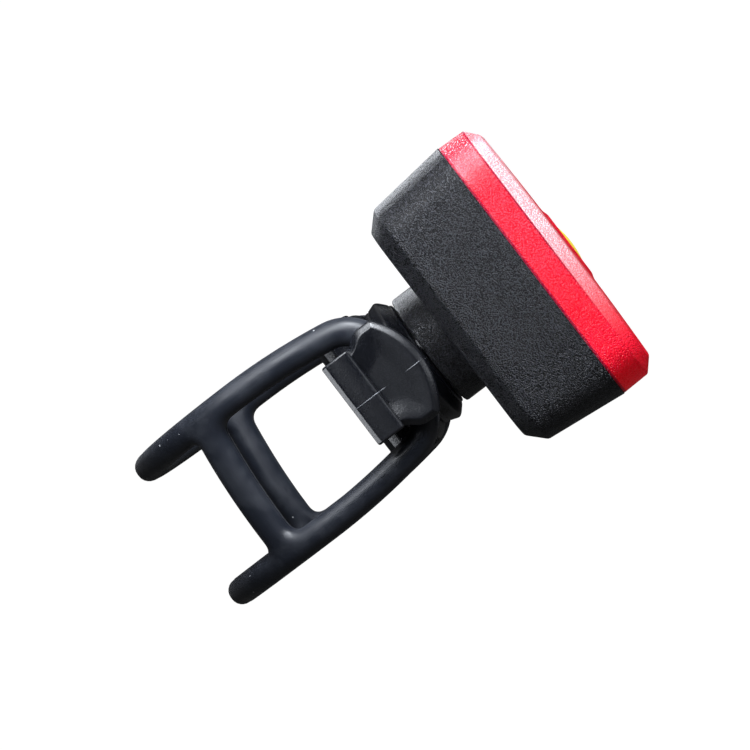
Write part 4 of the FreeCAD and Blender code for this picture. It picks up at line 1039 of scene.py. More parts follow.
@dataclass
class LadderStrap:
    """Silicone ladder strap with a ring over each hook."""

    path: StrapPath = field(default_factory=StrapPath)
    half_z: float = 11.7
    rail: float = 3.5
    flank_r: float = 90.0
    flank_out: float = 14.6
    corner_r: float = 7.0
    corner_turn: float = 60.0
    bar_start: float = 11.0
    bar_width: float = 14.2
    bar_lean: float = 0.07
    bar_bow: float = 0.85
    window_corner: float = 1.7
    rear_corner: float = 1.25
    edge_r: float = 1.6
    edge_steps: int = 6
    flash: float = 0.05
    bow_reach: float = 6.0
    side_points: int = 82
    loop_spacing: float = 0.6
    face_spacing: float = 0.7

    def ring_edge(self, inset: float) -> np.ndarray:
        """Upper half of the ring's outline as (out, z): a slow flank arc, a corner arc and the tip's arc.

        An arc's points are centre + radius (sin t, cos t), and each arc's centre lies on the line through the
        end of the arc before it, so that they meet without a corner.

        Args:
            inset: how far it is drawn in from the outside.

        Returns:
            Array of (out, z) from the side of the post to the tip.
        """
        flank_z = self.half_z - self.flank_r
        t0 = math.asin(self.flank_out / self.flank_r)
        t1 = math.radians(self.corner_turn)
        corner_out = (self.flank_r - self.corner_r) * math.sin(t0)
        corner_z = flank_z + (self.flank_r - self.corner_r) * math.cos(t0)
        tip_r = self.corner_r + corner_z / math.cos(t1)
        tip_out = corner_out - (tip_r - self.corner_r) * math.sin(t1)
        # Each arc: its centre, its radius, the angles it runs between, and its steps
        arcs = (
            (0.0, flank_z, self.flank_r, 0.0, t0, 26),
            (corner_out, corner_z, self.corner_r, t0, t1, 16),
            (tip_out, 0.0, tip_r, t1, math.pi / 2, 14),
        )
        runs = []
        for c_out, c_z, radius, a, b, steps in arcs:
            t = np.linspace(a, b, steps + 1)[:-1]
            drawn = radius - inset
            runs.append(np.stack([c_out + drawn * np.sin(t), c_z + drawn * np.cos(t)], -1))
        runs.append(np.array([[tip_out + tip_r - inset, 0.0]]))
        return np.vstack(runs)

    def outline(self) -> np.ndarray:
        """Lays out the strap's outside, both rings and the straight sides between them.

        Returns:
            Loop of (s, w), along the strap and across it.
        """
        edge = self.ring_edge(0.0)
        upper = np.stack([self.path.quarter + edge[:, 0], edge[:, 1]], -1)
        near = np.vstack([upper, upper[-2::-1] * np.array([1.0, -1.0])])
        far = near[::-1] * np.array([-1.0, 1.0])
        s = np.linspace(self.path.quarter, -self.path.quarter, self.side_points)[1:-1]
        below = np.stack([s, np.full(len(s), -self.half_z)], -1)
        return np.vstack([near, below, far[::-1] * np.array([1.0, -1.0]), -below])

    def ring_window(self) -> np.ndarray:
        """Lays out the near ring's opening: the drawn-in outline, closed by the bar's leaning edge.

        Returns:
            Loop of (s, w), along the strap and across it.
        """
        edge = self.ring_edge(self.rail)
        half = self.half_z - self.rail
        upper = np.stack([self.path.quarter + edge[:, 0], edge[:, 1]], -1)
        curve = np.vstack([upper, upper[-2::-1] * np.array([1.0, -1.0])])
        start = self.path.middle_r * math.radians(90 - self.bar_start)
        corners = np.array([
            [self.path.quarter, -half],
            [start - self.bar_lean * half, -half],
            [start + self.bar_lean * half, half],
            [self.path.quarter, half],
        ])
        bar = smooth_loop(corners, (0.0, self.window_corner, self.window_corner, 0.0), self.loop_spacing)
        short_of_curve = bar[:, 0] < self.path.quarter - REPEAT
        return np.vstack([curve, bar[short_of_curve]])

    def rear_window(self) -> np.ndarray:
        """Lays out the opening behind the post, between the two rails.

        Returns:
            Loop of (s, w), along the strap and across it.
        """
        half = self.half_z - self.rail
        end = self.path.middle_r * math.radians(90 - self.bar_start - self.bar_width)
        lean = self.bar_lean * half
        near, far = (end - lean, end + lean), (-end - lean, -end + lean)
        corners = np.array([[near[0], -half], [near[1], half], [far[0], half], [far[1], -half]])
        return smooth_loop(corners, (self.rear_corner,) * 4, self.loop_spacing)

    def bowed(self, points: np.ndarray) -> np.ndarray:
        """Lets the bars lag behind the stretched rails: s moves back by bow (1 - (w / h)^2) round each bar.

        The shift fades out with the distance d from the bar's middle by exp(-(d / reach)^2).

        Args:
            points: array (n, 3) of (s, w, level).

        Returns:
            The moved points.
        """
        middle = self.path.middle_r * math.radians(90 - self.bar_start - self.bar_width / 2)
        sag = self.bar_bow * (1.0 - (points[:, 1] / self.half_z) ** 2)
        near = np.exp(-(((points[:, 0] - middle) / self.bow_reach) ** 2))
        far = np.exp(-(((points[:, 0] + middle) / self.bow_reach) ** 2))
        return points + (sag * (far - near))[:, None] * np.array([1.0, 0.0, 0.0])

    def build(self, finishes: Finishes) -> None:
        """Makes the strap.

        Args:
            finishes: the finishes.
        """
        near = self.ring_window()
        loops = (self.outline(), near, near * np.array([-1.0, 1.0]), self.rear_window())
        edge = rim(self.path.thickness, self.edge_r, self.edge_steps, self.flash)
        flat = plate([thinned(loop) for loop in loops], edge, self.face_spacing)
        skin = flat.moved(self.bowed).moved(self.path.bent)
        as_piece("ladder_strap", skin, finishes.strap, "mount", "strap", Shading.SOFT)


@dataclass
class PostBracket:
    """Saddle, pedestal, arms and hooks of the bracket, and the saddle's rubber lining.

    Lengths are in millimetres. A name that ends in out is a distance from the post towards the light, one
    that ends in half_z is half of a height, and a round or corner is how far its rounding reaches. A spacing
    is how far apart the points lie along an outline and inside its face.
    """

    strap: LadderStrap
    lining_t: float = 1.2
    lining_edge: float = 0.2
    lining_step: float = 2.0
    lining_inset: float = 0.3
    saddle_t: float = 2.0
    saddle_edge: float = 0.4
    saddle_corner: float = 1.2
    saddle_spacing: Span = (0.6, 0.8)
    half_z: float = 10.2
    half_angle: float = 37.0
    pedestal_r: float = 8.6
    pedestal_points: int = 96
    foot_inset: float = 0.2
    foot_step: float = 0.3
    foot_rise: float = 1.6
    foot_out: float = 14.6
    foot_round: float = 1.2
    socket_out: float = 18.5
    socket_round: float = 0.25
    gap: float = 0.25
    clear: float = 0.02
    sunk: float = 0.3
    neck_depth: float = 4.9
    neck_half_z: float = 5.5
    neck_edge: float = 0.35
    neck_corner: float = 0.4
    neck_spacing: Span = (0.5, 0.7)
    arm_sag: float = 1.3
    arm_gusset: float = 1.9
    arm_sunk: float = 0.2
    lip_t: float = 2.1
    lip_half_z: float = 7.15
    lip_overhang: float = 4.75
    lip_rim: float = 0.85
    lip_tip_r: float = 11.4
    lip_flare: float = 1.9
    lip_waist: float = 0.15
    lip_spacing: Span = (0.35, 0.24)
    lip_rounds: tuple[float, ...] = (0.3, 0.6, 0.8, 0.35)
    bar_half_z: float = 5.9
    bar_rise: float = 1.0
    bar_depth: float = 3.95
    bar_round: float = 0.3
    bar_edge: float = 0.3
    bar_spacing: Span = (0.12, 0.5)
    bar_fall: float = 0.35
    bar_crown: Span = (1.5, 0.24)
    bar_setback: float = -1.2
    flank: float = 0.6
    valley_depth: float = 0.6
    valley_power: float = 0.8
    rim_width: float = 0.5
    dish_run: float = 3.5

    @property
    def lining_r(self) -> float:
        """Outer radius of the rubber lining."""
        return self.strap.path.post_r + self.lining_t

    @property
    def neck_front(self) -> float:
        """How far out the hook's neck reaches, just inside the strap's ring."""
        return float(self.strap.ring_edge(self.strap.rail)[-1, 0]) - self.gap

    @property
    def lip_under(self) -> float:
        """Distance of the lip's underside from the post's middle plane."""
        path = self.strap.path
        return path.post_r + path.thickness + self.gap

    def saddle_skin(self, inner: float, thickness: float, half_angle: float, half_z: float,
                    edge: float) -> Surface:
        """A plate wrapped on a cylinder: u / R is the angle from the light's side, w is z.

        The point is (r sin a, -r cos a, w), with r the cylinder's radius plus the level.

        Args:
            inner: radius of its inner face.
            thickness: its thickness.
            half_angle: how far it reaches round the post.
            half_z: how far it reaches along the post.
            edge: radius of its rims.

        Returns:
            The closed skin.
        """
        middle = inner + thickness / 2
        reach = middle * math.radians(half_angle)
        along, inside = self.saddle_spacing
        loop = smooth_loop(rectangle(2 * reach, 2 * half_z), (self.saddle_corner,) * 4, along)

        def wrapped(points: np.ndarray) -> np.ndarray:
            """Wraps points round the post.

            Args:
                points: rows of (u, w, level), flat.

            Returns:
                Rows of (x, y, z), in place.
            """
            turn = points[:, 0] / middle
            r = middle + points[:, 2]
            return np.stack([r * np.sin(turn), -r * np.cos(turn), points[:, 1]], -1)

        return plate([loop], rim(thickness, edge, 3), inside).moved(wrapped)

    def pedestal_skin(self) -> Surface:
        """Cone under the socket. Its foot lies on the saddle's middle, at out = sqrt(R^2 - x^2).

        Rings of growing radius cover the foot. One more, a step smaller, stands a little above it, and the
        last two are the top, which reaches just short of the socket.

        Returns:
            The closed skin.
        """
        unit = unit_circle(self.pedestal_points)
        middle = self.lining_r + self.saddle_t / 2
        foot_r = self.half_z - self.foot_inset
        top_out = self.socket_out - self.clear
        rings = []
        for share in (0.02, 0.4, 0.75, 1.0):
            flat = unit * foot_r * share
            rings.append(facing(flat, np.sqrt(middle**2 - flat[:, 0] ** 2)))
        flat = unit * (foot_r - self.foot_step)
        above = np.sqrt((middle + self.foot_rise) ** 2 - flat[:, 0] ** 2)
        rings.append(facing(flat, np.maximum(above, self.foot_out)))
        rings += [facing(unit * self.pedestal_r, top_out), facing(unit * 0.2, top_out)]
        return woven(eased(np.stack(rings), (0, 0, 0, 0, self.foot_round, self.socket_round, 0)))

    def neck_skin(self) -> Surface:
        """Near arm and neck: a web in the (distance, out) plane, as high as the ring's opening lets it be.

        The arm's front sags between the pedestal at x0 and the post's side at x1 along
        (x0 + (x1 - x0) (1 - cos t) / 2, front - sag sin t), and a gusset runs under it. The web's z is
        clipped to the half height of the ring's opening there.

        Returns:
            The closed skin, sunk into the lip and the pedestal at its ends.
        """
        front, back = self.neck_front, self.neck_front - self.neck_depth
        t = np.linspace(0, math.pi, 13)[1:-1]
        x0, x1 = self.pedestal_r, self.strap.path.post_r
        dish = np.stack([x0 + (x1 - x0) * (1 - np.cos(t)) / 2, front - self.arm_sag * np.sin(t)], -1)
        inner_x, outer_x = x0 - self.arm_sunk, self.lip_under + self.sunk
        corners = np.vstack([
            [(outer_x, back), (outer_x, front), (x1, front)],
            dish[::-1],
            [(x0, front), (inner_x, front), (inner_x, back + self.arm_gusset), (x0 + self.arm_gusset, back)],
        ])
        reach = (0.0, 0.0, self.neck_corner) + (0.0,) * len(dish) + (0.3, 0.0, 0.0, self.neck_corner)
        along, inside = self.neck_spacing
        loop = smooth_loop(corners, reach, along)
        web = plate([loop], rim(2 * self.neck_half_z, self.neck_edge, 3), inside)
        window = self.strap.ring_edge(self.strap.rail + self.gap)

        def kept(points: np.ndarray) -> np.ndarray:
            """Puts (distance, out, level) in place, with z kept inside the ring's opening."""
            limit = np.interp(points[:, 1], window[:, 0], window[:, 1], left=self.neck_half_z, right=0.3)
            return np.stack([-points[:, 0], -points[:, 1], np.clip(points[:, 2], -limit, limit)], -1)

        return web.moved(kept)

    @property
    def bar_back(self) -> float:
        """How far out the bar starts."""
        return self.neck_front - self.neck_depth + self.bar_setback

    @property
    def tip(self) -> float:
        """How far out the lip reaches."""
        return self.neck_front + self.lip_overhang

    def lip_outline(self) -> np.ndarray:
        """The lip from the side as (out, z): straight under the bar, flared out, then a round tip.

        The tip's arc is (c + R cos t, R sin t). It meets the straight edges where |z| is the lip's half
        height, and those corners are rounded.

        Returns:
            The loop.
        """
        front = self.bar_back + self.bar_depth
        low_half = self.bar_half_z - self.lip_waist
        centre = self.tip - self.lip_tip_r
        end = math.asin(self.lip_half_z / self.lip_tip_r)
        t = np.linspace(-end, end, 25)[1:-1]
        arc = np.stack([centre + self.lip_tip_r * np.cos(t), self.lip_tip_r * np.sin(t)], -1)
        corner_out = centre + self.lip_tip_r * math.cos(end)
        low = np.array([
            (self.bar_back + self.sunk, -low_half),
            (front, -low_half),
            (front + self.lip_flare, -self.lip_half_z),
            (corner_out, -self.lip_half_z),
        ])
        corners = np.vstack([low, arc, low[::-1] * np.array([1.0, -1.0])])
        reach = self.lip_rounds + (0.0,) * len(arc) + self.lip_rounds[::-1]
        return smooth_loop(corners, reach, self.lip_spacing[0])

    def lip_top(self, out: np.ndarray, inside: np.ndarray) -> np.ndarray:
        """Height of the lip's face over its underside: a dish, deepest beside the bar, that rises to the rim.

        The dish is depth (1 - s)^power, with s the share of the way from the bar to the tip. It fades out to
        nothing at the rim by the smooth step a^2 (3 - 2 a) of the distance to the outline.

        Args:
            out: distances towards the light.
            inside: distances to the lip's outline.

        Returns:
            The heights.
        """
        front = self.bar_back + self.bar_depth
        share = np.clip((out - front) / (self.tip - front), 0.0, 1.0)
        away = np.clip((inside - self.rim_width) / self.dish_run, 0.0, 1.0)
        depth = self.valley_depth * (1.0 - share) ** self.valley_power
        return self.lip_t - depth * away**2 * (3.0 - 2.0 * away)

    def lip_skin(self) -> Surface:
        """Near lip: a plate with a dished face and a softly bevelled rim.

        The rim's rows are (inset, code). A code above 0 is 1 plus the height over the underside, and one
        below 0 is a drop from the face, whose height varies from place to place.

        Returns:
            The closed skin.
        """
        loop = self.lip_outline()
        under = [(0.25, 1.0), (0.07, 1.07), (0.0, 1.25)]
        over = [(0.0, -0.86), (0.05, -0.74), (0.16, -0.6), (0.5, -0.33), (0.84, -0.09), (0.96, -0.02),
                (1.12, 0.0)]
        just_below = np.array([0.0, 1e-6])
        edge = np.vstack([under, np.array(over) * self.lip_rim - just_below])
        # The dish runs on under the bar: the outline's back is moved away, so that no rim rises there
        behind = loop[:, :1] < self.bar_back + self.bar_depth
        open_loop = loop - np.array([10.0, 0.0]) * behind

        def stood(points: np.ndarray) -> np.ndarray:
            """Stands points up in place.

            Args:
                points: rows of (out, z, code), flat.

            Returns:
                Rows of (x, y, z), in place.
            """
            out, z, code = points.T
            top = self.lip_top(out, distance_to(points[:, :2], open_loop))
            height = np.where(code > 0, code - 1.0, top + code)
            return np.stack([-(self.lip_under + height), -out, z], -1)

        return plate([loop], edge, self.lip_spacing[1]).moved(stood)

    def bar_skin(self) -> Surface:
        """Near bar: a prism along z with a crowned top and soft ends.

        Its side view (out, height) stands in the lip. The front edge is bevelled by the fall, the top runs
        back level and then drops by the crown's drop over the crown's run, and a flank bevels the back.
        The rows are (out, height, rounding).

        Returns:
            The closed skin.
        """
        top = self.lip_t + self.bar_rise
        back, front = self.bar_back, self.bar_back + self.bar_depth
        run, drop = self.bar_crown
        outline = (
            (back, self.sunk, 0.0),
            (front, self.sunk, 0.0),
            (front, top - self.bar_fall, 0.1),
            (front - self.bar_fall, top, self.bar_round),
            (back + self.flank + run, top, 1.2),
            (back + self.flank, top - drop, 0.2),
            (back, top - self.flank * 0.95 - drop, 0.08),
        )
        rows = np.array(outline)
        along, inside = self.bar_spacing
        loop = smooth_loop(rows[:, :2], rows[:, 2], along)
        bar = plate([loop], rim(2 * self.bar_half_z, self.bar_edge, 4), inside)
        return bar.moved(lambda p: np.stack([-(self.lip_under + p[:, 1]), -p[:, 0], p[:, 2]], -1))

    def build(self, finishes: Finishes) -> None:
        """Makes the bracket and its lining.

        Args:
            finishes: the finishes.
        """
        neck = self.neck_skin()
        hook = gathered([self.lip_skin(), self.bar_skin()])
        saddle = self.saddle_skin(self.lining_r, self.saddle_t, self.half_angle, self.half_z,
                                  self.saddle_edge)
        skin = gathered([saddle, self.pedestal_skin(), neck, neck.mirrored(), hook, hook.mirrored()])
        as_piece("post_bracket", skin, finishes.nylon, "mount", "bracket_core")
        reach = self.half_angle - self.lining_step
        lining = self.saddle_skin(self.strap.path.post_r, self.lining_t - self.clear, reach,
                                  self.half_z - self.lining_inset, self.lining_edge)
        as_piece("saddle_lining", lining, finishes.grip, "mount", "saddle_pad")


@dataclass
class TwistSocket:
    """Round socket of the twist lock, with fine moulded rings under its bevel."""

    base_out: float = 18.5
    top_out: float = 22.07
    base_r: float = 8.6
    radius: float = 9.19
    top_r: float = 7.65
    bore_r: float = 5.15
    bevel: float = 1.55

    def build(self, finishes: Finishes) -> None:
        """Makes the socket.

        Args:
            finishes: the finishes.
        """
        rim_out = self.top_out - self.bevel
        profile = [
            (self.bore_r, self.base_out, 0.0),
            (self.base_r, self.base_out, 0.1),
            (self.base_r + 0.12, self.base_out + 0.5, 0.1),
            (self.base_r + 0.02, self.base_out + 0.62, 0.05),
            (self.base_r + 0.18, self.base_out + 0.74, 0.1),
            (self.radius, rim_out - 0.1, 0.25),
            (self.radius - 0.3, rim_out + 0.35, 0.2),
            (self.top_r + 0.35, self.top_out - 0.4, 0.1),
            (self.top_r + 0.12, self.top_out - 0.36, 0.05),
            (self.top_r, self.top_out, 0.15),
            (self.bore_r + 0.2, self.top_out, 0.2),
            (self.bore_r, self.top_out - 0.3, 0.1),
        ]
        skin = lathe(profile, columns=128, steps=3, joined_ends=True)
        as_piece("twist_ring", skin, finishes.nylon, "mount", "twist_socket")


@dataclass
class RearHousing:
    """Grained shell with a chamfered back and the boss of the twist lock."""

    boss_out: float = 22.35
    boss_r: float = 8.05
    back_out: float = 26.2
    chamfer: float = 2.15
    seam_out: float = 39.3
    seam_half: float = 19.1
    corner: float = 5.6
    draft: float = 6.0
    wall: float = 1.6
    rebate: float = 0.8
    screw_xz: float = 12.9
    screw_r: float = 1.85
    shaft_r: float = 1.05
    recess: float = 1.55
    port_out: float = 32.8
    middle_out: float = 33.5
    ledge_out: float = 36.7
    floor_out: float = 29.6
    floor_slope: float = 1.6
    bore_r: float = 3.3
    bore_depth: float = 2.4
    face_ring: float = 1.3
    inner_corners: tuple[float, ...] = (4.8, 4.8, 4.0, 3.0, 2.6)
    corner_share: float = 0.65
    loft_rounds: tuple[float, ...] = (0.35, 0.3, 0.0, 0.12, 0.1, 0.0, 0.0, 0.6, 0.6)
    cut_high: float = 1.5

    def half_at(self, out: float) -> float:
        """Works out the half width of the outside.

        Args:
            out: the distance from the post.

        Returns:
            The half width there.
        """
        knee = self.back_out + self.chamfer
        side = self.seam_half - (self.seam_out - max(out, knee)) * math.tan(math.radians(self.draft))
        return side - max(knee - out, 0.0)

    def corner_at(self, half: float) -> float:
        """Corner radius where the half width is the given one: it shrinks less than the width does."""
        return self.corner - (self.seam_half - half) * self.corner_share

    def shell_skin(self) -> Surface:
        """One closed skin: boss, back face, chamfer, side, seam rim, inner wall and floor.

        Round rings and rounded squares have their points in the same directions, so that the back face runs
        straight from one to the other.

        Returns:
            The skin.
        """
        knee = self.back_out + self.chamfer
        outer_outs = [self.back_out, knee, self.middle_out, self.seam_out]
        outer = [self.half_at(out) for out in outer_outs]
        ledge = self.half_at(self.ledge_out) - self.wall
        floor = self.half_at(self.floor_out) - self.wall
        mouth = self.seam_half - self.wall + self.rebate
        inner = [mouth, ledge + self.rebate, ledge, floor, floor - self.floor_slope]
        inner_outs = [self.seam_out, self.ledge_out, self.ledge_out, self.floor_out,
                      self.back_out + self.wall]
        flat = squares(outer + inner, [self.corner_at(half) for half in outer] + list(self.inner_corners))
        loft = facing(flat, np.array(outer_outs + inner_outs)[:, None])
        boss = np.array([
            (self.bore_r, self.boss_out + self.bore_depth, 0.0),
            (self.bore_r, self.boss_out, 0.15),
            (self.boss_r, self.boss_out, 0.45),
            (self.boss_r, self.back_out, 0.75),
            (self.boss_r + self.face_ring, self.back_out, 0.0),
        ])
        rounds = facing(circles(boss[:, 0], flat[0]), boss[:, 1][:, None])
        return woven(eased(np.concatenate([rounds, loft]), [*boss[:, 2], *self.loft_rounds], 5))

    def port_cutter(self) -> Surface:
        """Block through the lower wall for the charging port, and the block of its shallow recess."""
        port = self.wall_block(width=9.6, height=3.9, radius=1.5, low=-5.0, along=0.0)
        return gathered([port, self.wall_block(width=12.9, height=8.1, radius=0.7, low=-0.87, along=-0.8)])

    def wall_block(self, width: float, height: float, radius: float, low: float, along: float) -> Surface:
        """Rounded block drawn on the lower wall.

        Args:
            width: size across.
            height: size along the wall.
            radius: corner radius.
            low: depth below the wall's face, negative inwards.
            along: where its middle lies along the wall, towards the lens.

        Returns:
            The block in place.
        """
        loop = smooth_loop(rectangle(width, height, along), (radius,) * 4, 1.0)
        return plate([loop], np.array([(0.0, low), (0.0, self.cut_high)]), 2.0).moved(self.on_wall)

    def on_wall(self, points: np.ndarray) -> np.ndarray:
        """Sends (x, u, w), across, along and above the lower wall, to x, y, z.

        The wall leans by the draft a about the port's middle (-P, -H): y = -P - u cos a + w sin a and
        z = -H - u sin a - w cos a.

        Args:
            points: array of x, u and w.

        Returns:
            Array of x, y and z.
        """
        a = math.radians(self.draft)
        x, u, w = points.T
        y = -self.port_out - u * math.cos(a) + w * math.sin(a)
        z = -self.half_at(self.port_out) - u * math.sin(a) - w * math.cos(a)
        return np.stack([x, y, z], -1)

    def build(self, finishes: Finishes) -> None:
        """Makes the shell and sinks its screw recesses and port.

        Args:
            finishes: the finishes.
        """
        shell = as_piece("rear_shell", self.shell_skin(), finishes.housing, "head",
                         "rear_housing")
        seat = self.back_out + self.recess
        profile = [(self.screw_r, self.back_out - 1.0, 0.0), (self.screw_r, seat, 0.0),
                   (self.shaft_r, seat, 0.0), (self.shaft_r, seat + 3.0, 0.0)]
        cutters = [self.port_cutter()]
        for x in (-self.screw_xz, self.screw_xz):
            for z in (-self.screw_xz, self.screw_xz):
                cutters.append(lathe(profile, columns=40, steps=2, centre=(x, z)))
        carve(shell, cutters)


def carve(piece: bpy.types.Object, cutters: Sequence[Surface]) -> None:
    """Cuts closed skins out of a piece, one after the other, and shades it again.

    Args:
        piece: the piece to cut.
        cutters: the skins in millimetres.
    """
    for i, skin in enumerate(cutters):
        mesh = closed_mesh(f"cutter_{i}", skin)
        tool = bpy.data.objects.new(f"cutter_{i}", mesh)
        bpy.context.scene.collection.objects.link(tool)
        cut = piece.modifiers.new("cut", "BOOLEAN")
        cut.operation = "DIFFERENCE"
        cut.solver = "EXACT"
        cut.use_self = True
        cut.object = tool
        with bpy.context.temp_override(object=piece, active_object=piece):
            bpy.ops.object.modifier_move_to_index(modifier=cut.name, index=0)
            bpy.ops.object.modifier_apply(modifier=cut.name)
        bpy.data.objects.remove(tool)
        bpy.data.meshes.remove(mesh)
    shaded(piece.data, Shading.CRISP)


@dataclass
class LensCover:
    """Red cover with a chamfer band, crowned front, collar and the button's hole."""

    seam_out: float = 39.3
    half: float = 19.02
    corner: float = 5.52
    side: float = 3.7
    draft: float = 2.0
    chamfer: float = 1.6
    crown: float = 0.3
    wall: float = 1.5
    collar_r: float = 5.4
    collar_h: float = 0.22
    collar_slope: float = 0.7
    hole_r: float = 3.7
    tongue: float = 1.9
    tongue_step: float = 0.82
    tongue_t: float = 1.05
    seam_step: Span = (0.12, 0.02)
    crown_ring: float = 0.9
    inner_corners: tuple[float, ...] = (4.8, 4.8, 4.0, 4.0)
    loft_rounds: tuple[float, ...] = (0.22, 0.2, 0.1, 0.05, 0.0, 0.15, 0.15, 0.8, 0.0)
    crown_shares: tuple[float, ...] = (0.2, 0.4, 0.6, 0.8)

    def skin(self) -> Surface:
        """One closed skin with the button's hole through it.

        The rings run from the hole over the collar, the front face, the chamfer and the side to the tongue,
        then back inside. The front face is out = t - r^2 / 2R, with t at its middle, r the distance from the
        axis and R the crown's radius.

        Returns:
            The skin.
        """
        edge_out = self.seam_out + self.side
        front_out = edge_out + self.chamfer
        crown_out = front_out + self.crown
        edge_half = self.half - self.side * math.tan(math.radians(self.draft))
        front_half = edge_half - self.chamfer
        sphere = (front_half**2 + self.crown**2) / (2 * self.crown)
        top_out = crown_out + self.collar_h
        back_out = self.seam_out - self.tongue
        tongue_half = self.half - self.tongue_step
        inner_half = tongue_half - self.tongue_t
        inner_out = front_out - self.wall
        above_seam, at_seam = (self.seam_out + step for step in self.seam_step)
        halves = [front_half, edge_half, self.half, self.half, tongue_half, tongue_half - 0.2, inner_half,
                  inner_half]
        corners = [self.corner - self.chamfer, self.corner - 0.15, self.corner, self.corner,
                   *self.inner_corners]
        flat = squares(halves, corners, 10, 10)
        outs = np.array([0, edge_out, above_seam, at_seam, at_seam, back_out, back_out, inner_out])
        loft = facing(flat, outs[:, None])
        lead = flat[0]
        loft[0, :, 1] = -(crown_out - (lead**2).sum(1) / (2 * sphere))
        crown_r = self.collar_r + self.crown_ring
        collar = np.array([
            (self.hole_r, inner_out, 0.0),
            (self.hole_r, top_out, 0.12),
            (self.collar_r - self.collar_slope, top_out, 0.3),
            (self.collar_r, crown_out - 0.03, 0.3),
            (crown_r, crown_out - 0.05, 0.0),
        ])
        rounds = facing(circles(collar[:, 0], lead), collar[:, 1][:, None])
        between = []
        for share in self.crown_shares:
            mixed = circles([crown_r], lead)[0] * (1 - share) + lead * share
            between.append(facing(mixed, crown_out - (mixed**2).sum(1) / (2 * sphere)))
        inside = facing(circles([self.hole_r + 3.0], lead), inner_out)
        rings = np.concatenate([rounds, np.stack(between), loft, inside])
        reach = [*collar[:, 2], *[0.0] * len(between), *self.loft_rounds]
        return woven(eased(rings, reach, 4, joined_ends=True), joined_ends=True)

    def build(self, finishes: Finishes) -> None:
        """Makes the cover.

        Args:
            finishes: the finishes.
        """
        as_piece("red_cover", self.skin(), finishes.lens, "head", "lens_cover")


@dataclass
class PushButton:
    """Domed push button with its retaining flange and stem."""

    radius: float = 3.6
    dome: float = 0.55
    top_out: float = 45.4
    flange_r: float = 4.7
    flange_out: float = 42.85
    flange_t: float = 0.7
    stem_r: float = 1.6
    stem_out: float = 38.24

    def build(self, finishes: Finishes) -> None:
        """Makes the button. Its dome drops from the top by r^2 / 2R, with R the dome's radius.

        Args:
            finishes: the finishes.
        """
        sphere = (self.radius**2 + self.dome**2) / (2 * self.dome)
        dome = [(r, self.top_out - r**2 / (2 * sphere), 0.0) for r in (0.05, 0.6, 1.2, 1.8, 2.4, 3.0, 3.35)]
        profile = dome + [
            (self.radius, self.top_out - self.dome, 0.22),
            (self.radius, self.flange_out, 0.0),
            (self.flange_r, self.flange_out, 0.1),
            (self.flange_r, self.flange_out - self.flange_t, 0.1),
            (self.stem_r, self.flange_out - self.flange_t, 0.2),
            (self.stem_r, self.stem_out, 0.15),
            (0.05, self.stem_out, 0.0),
        ]
        skin = lathe(profile, columns=96, steps=4)
        as_piece("push_button", skin, finishes.yellow, "button", "button_cap")


@dataclass
class PortCover:
    """Rubber cover of the charging port with its tongue, and the fixed strip behind its hinge."""

    housing: RearHousing
    width: float = 12.6
    height: float = 6.2
    thickness: float = 0.85
    corner: float = 1.1
    tongue_w: float = 8.9
    tongue_h: float = 3.2
    tongue_t: float = 0.65
    tongue_corner: float = 1.3
    anchor_h: float = 1.45
    anchor_corner: float = 0.6
    anchor_gap: float = 0.3
    edge_r: float = 0.18

    def slab_skin(self, width: float, height: float, radius: float, low: float, high: float = 0.0,
                  along: float = 0.0) -> Surface:
        """Plate with soft rims on the lower wall.

        Args:
            width: size across.
            height: size along the wall.
            radius: corner radius.
            low: its lower level, negative inwards.
            high: its upper level.
            along: where its middle lies along the wall.

        Returns:
            The skin in place.
        """
        loop = smooth_loop(rectangle(width, height, along), (radius,) * 4, 0.6)
        edge = rim(high - low, min(self.edge_r, (high - low) / 3), 3) + np.array([0.0, (high + low) / 2])
        return plate([loop], edge, 1.0).moved(self.housing.on_wall)

    def build(self, finishes: Finishes) -> None:
        """Makes the cover and its strip.

        Args:
            finishes: the finishes.
        """
        cover = self.slab_skin(self.width, self.height, self.corner, -self.thickness)
        low = -self.thickness - self.tongue_t
        tongue = self.slab_skin(self.tongue_w, self.tongue_h, self.tongue_corner, low, -self.thickness / 2)
        as_piece("port_cover", gathered([cover, tongue]), finishes.grip, "plug", "port_plug")
        behind = -(self.height + self.anchor_h + self.anchor_gap) / 2
        strip = self.slab_skin(self.width, self.anchor_h, self.anchor_corner, -self.thickness, along=behind)
        as_piece("port_strip", strip, finishes.grip, "head", "plug_anchor")


class InnerParts:
    """The CAD nodes that keep their own shape, with their finishes."""

    def build(self, finishes: Finishes) -> None:
        """Dresses each node that is left.

        Args:
            finishes: the finishes.
        """
        plan = {
            "socket_screws": finishes.steel, "housing_screws": finishes.steel, "foot_screw": finishes.steel,
            "board_screws": finishes.steel, "twist_foot": finishes.nylon, "seam_gasket": finishes.grip,
            "circuit_board": finishes.board, "leds": finishes.resin, "reflector": finishes.mirror,
            "diffuser": finishes.white, "mode_switch": finishes.chip, "driver_chips": finishes.chip,
            "usb_socket": finishes.nickel, "battery_cell": finishes.foil, "battery_tabs": finishes.nickel,
            "battery_pad": finishes.foam, "switch_plunger": finishes.white,
        }
        for node, finish in plan.items():
            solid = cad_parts[node]
            for slot in solid.material_slots:
                slot.material = finish
            log.info("%s: dressed with %s", node, finish.name)


# Stage and camera

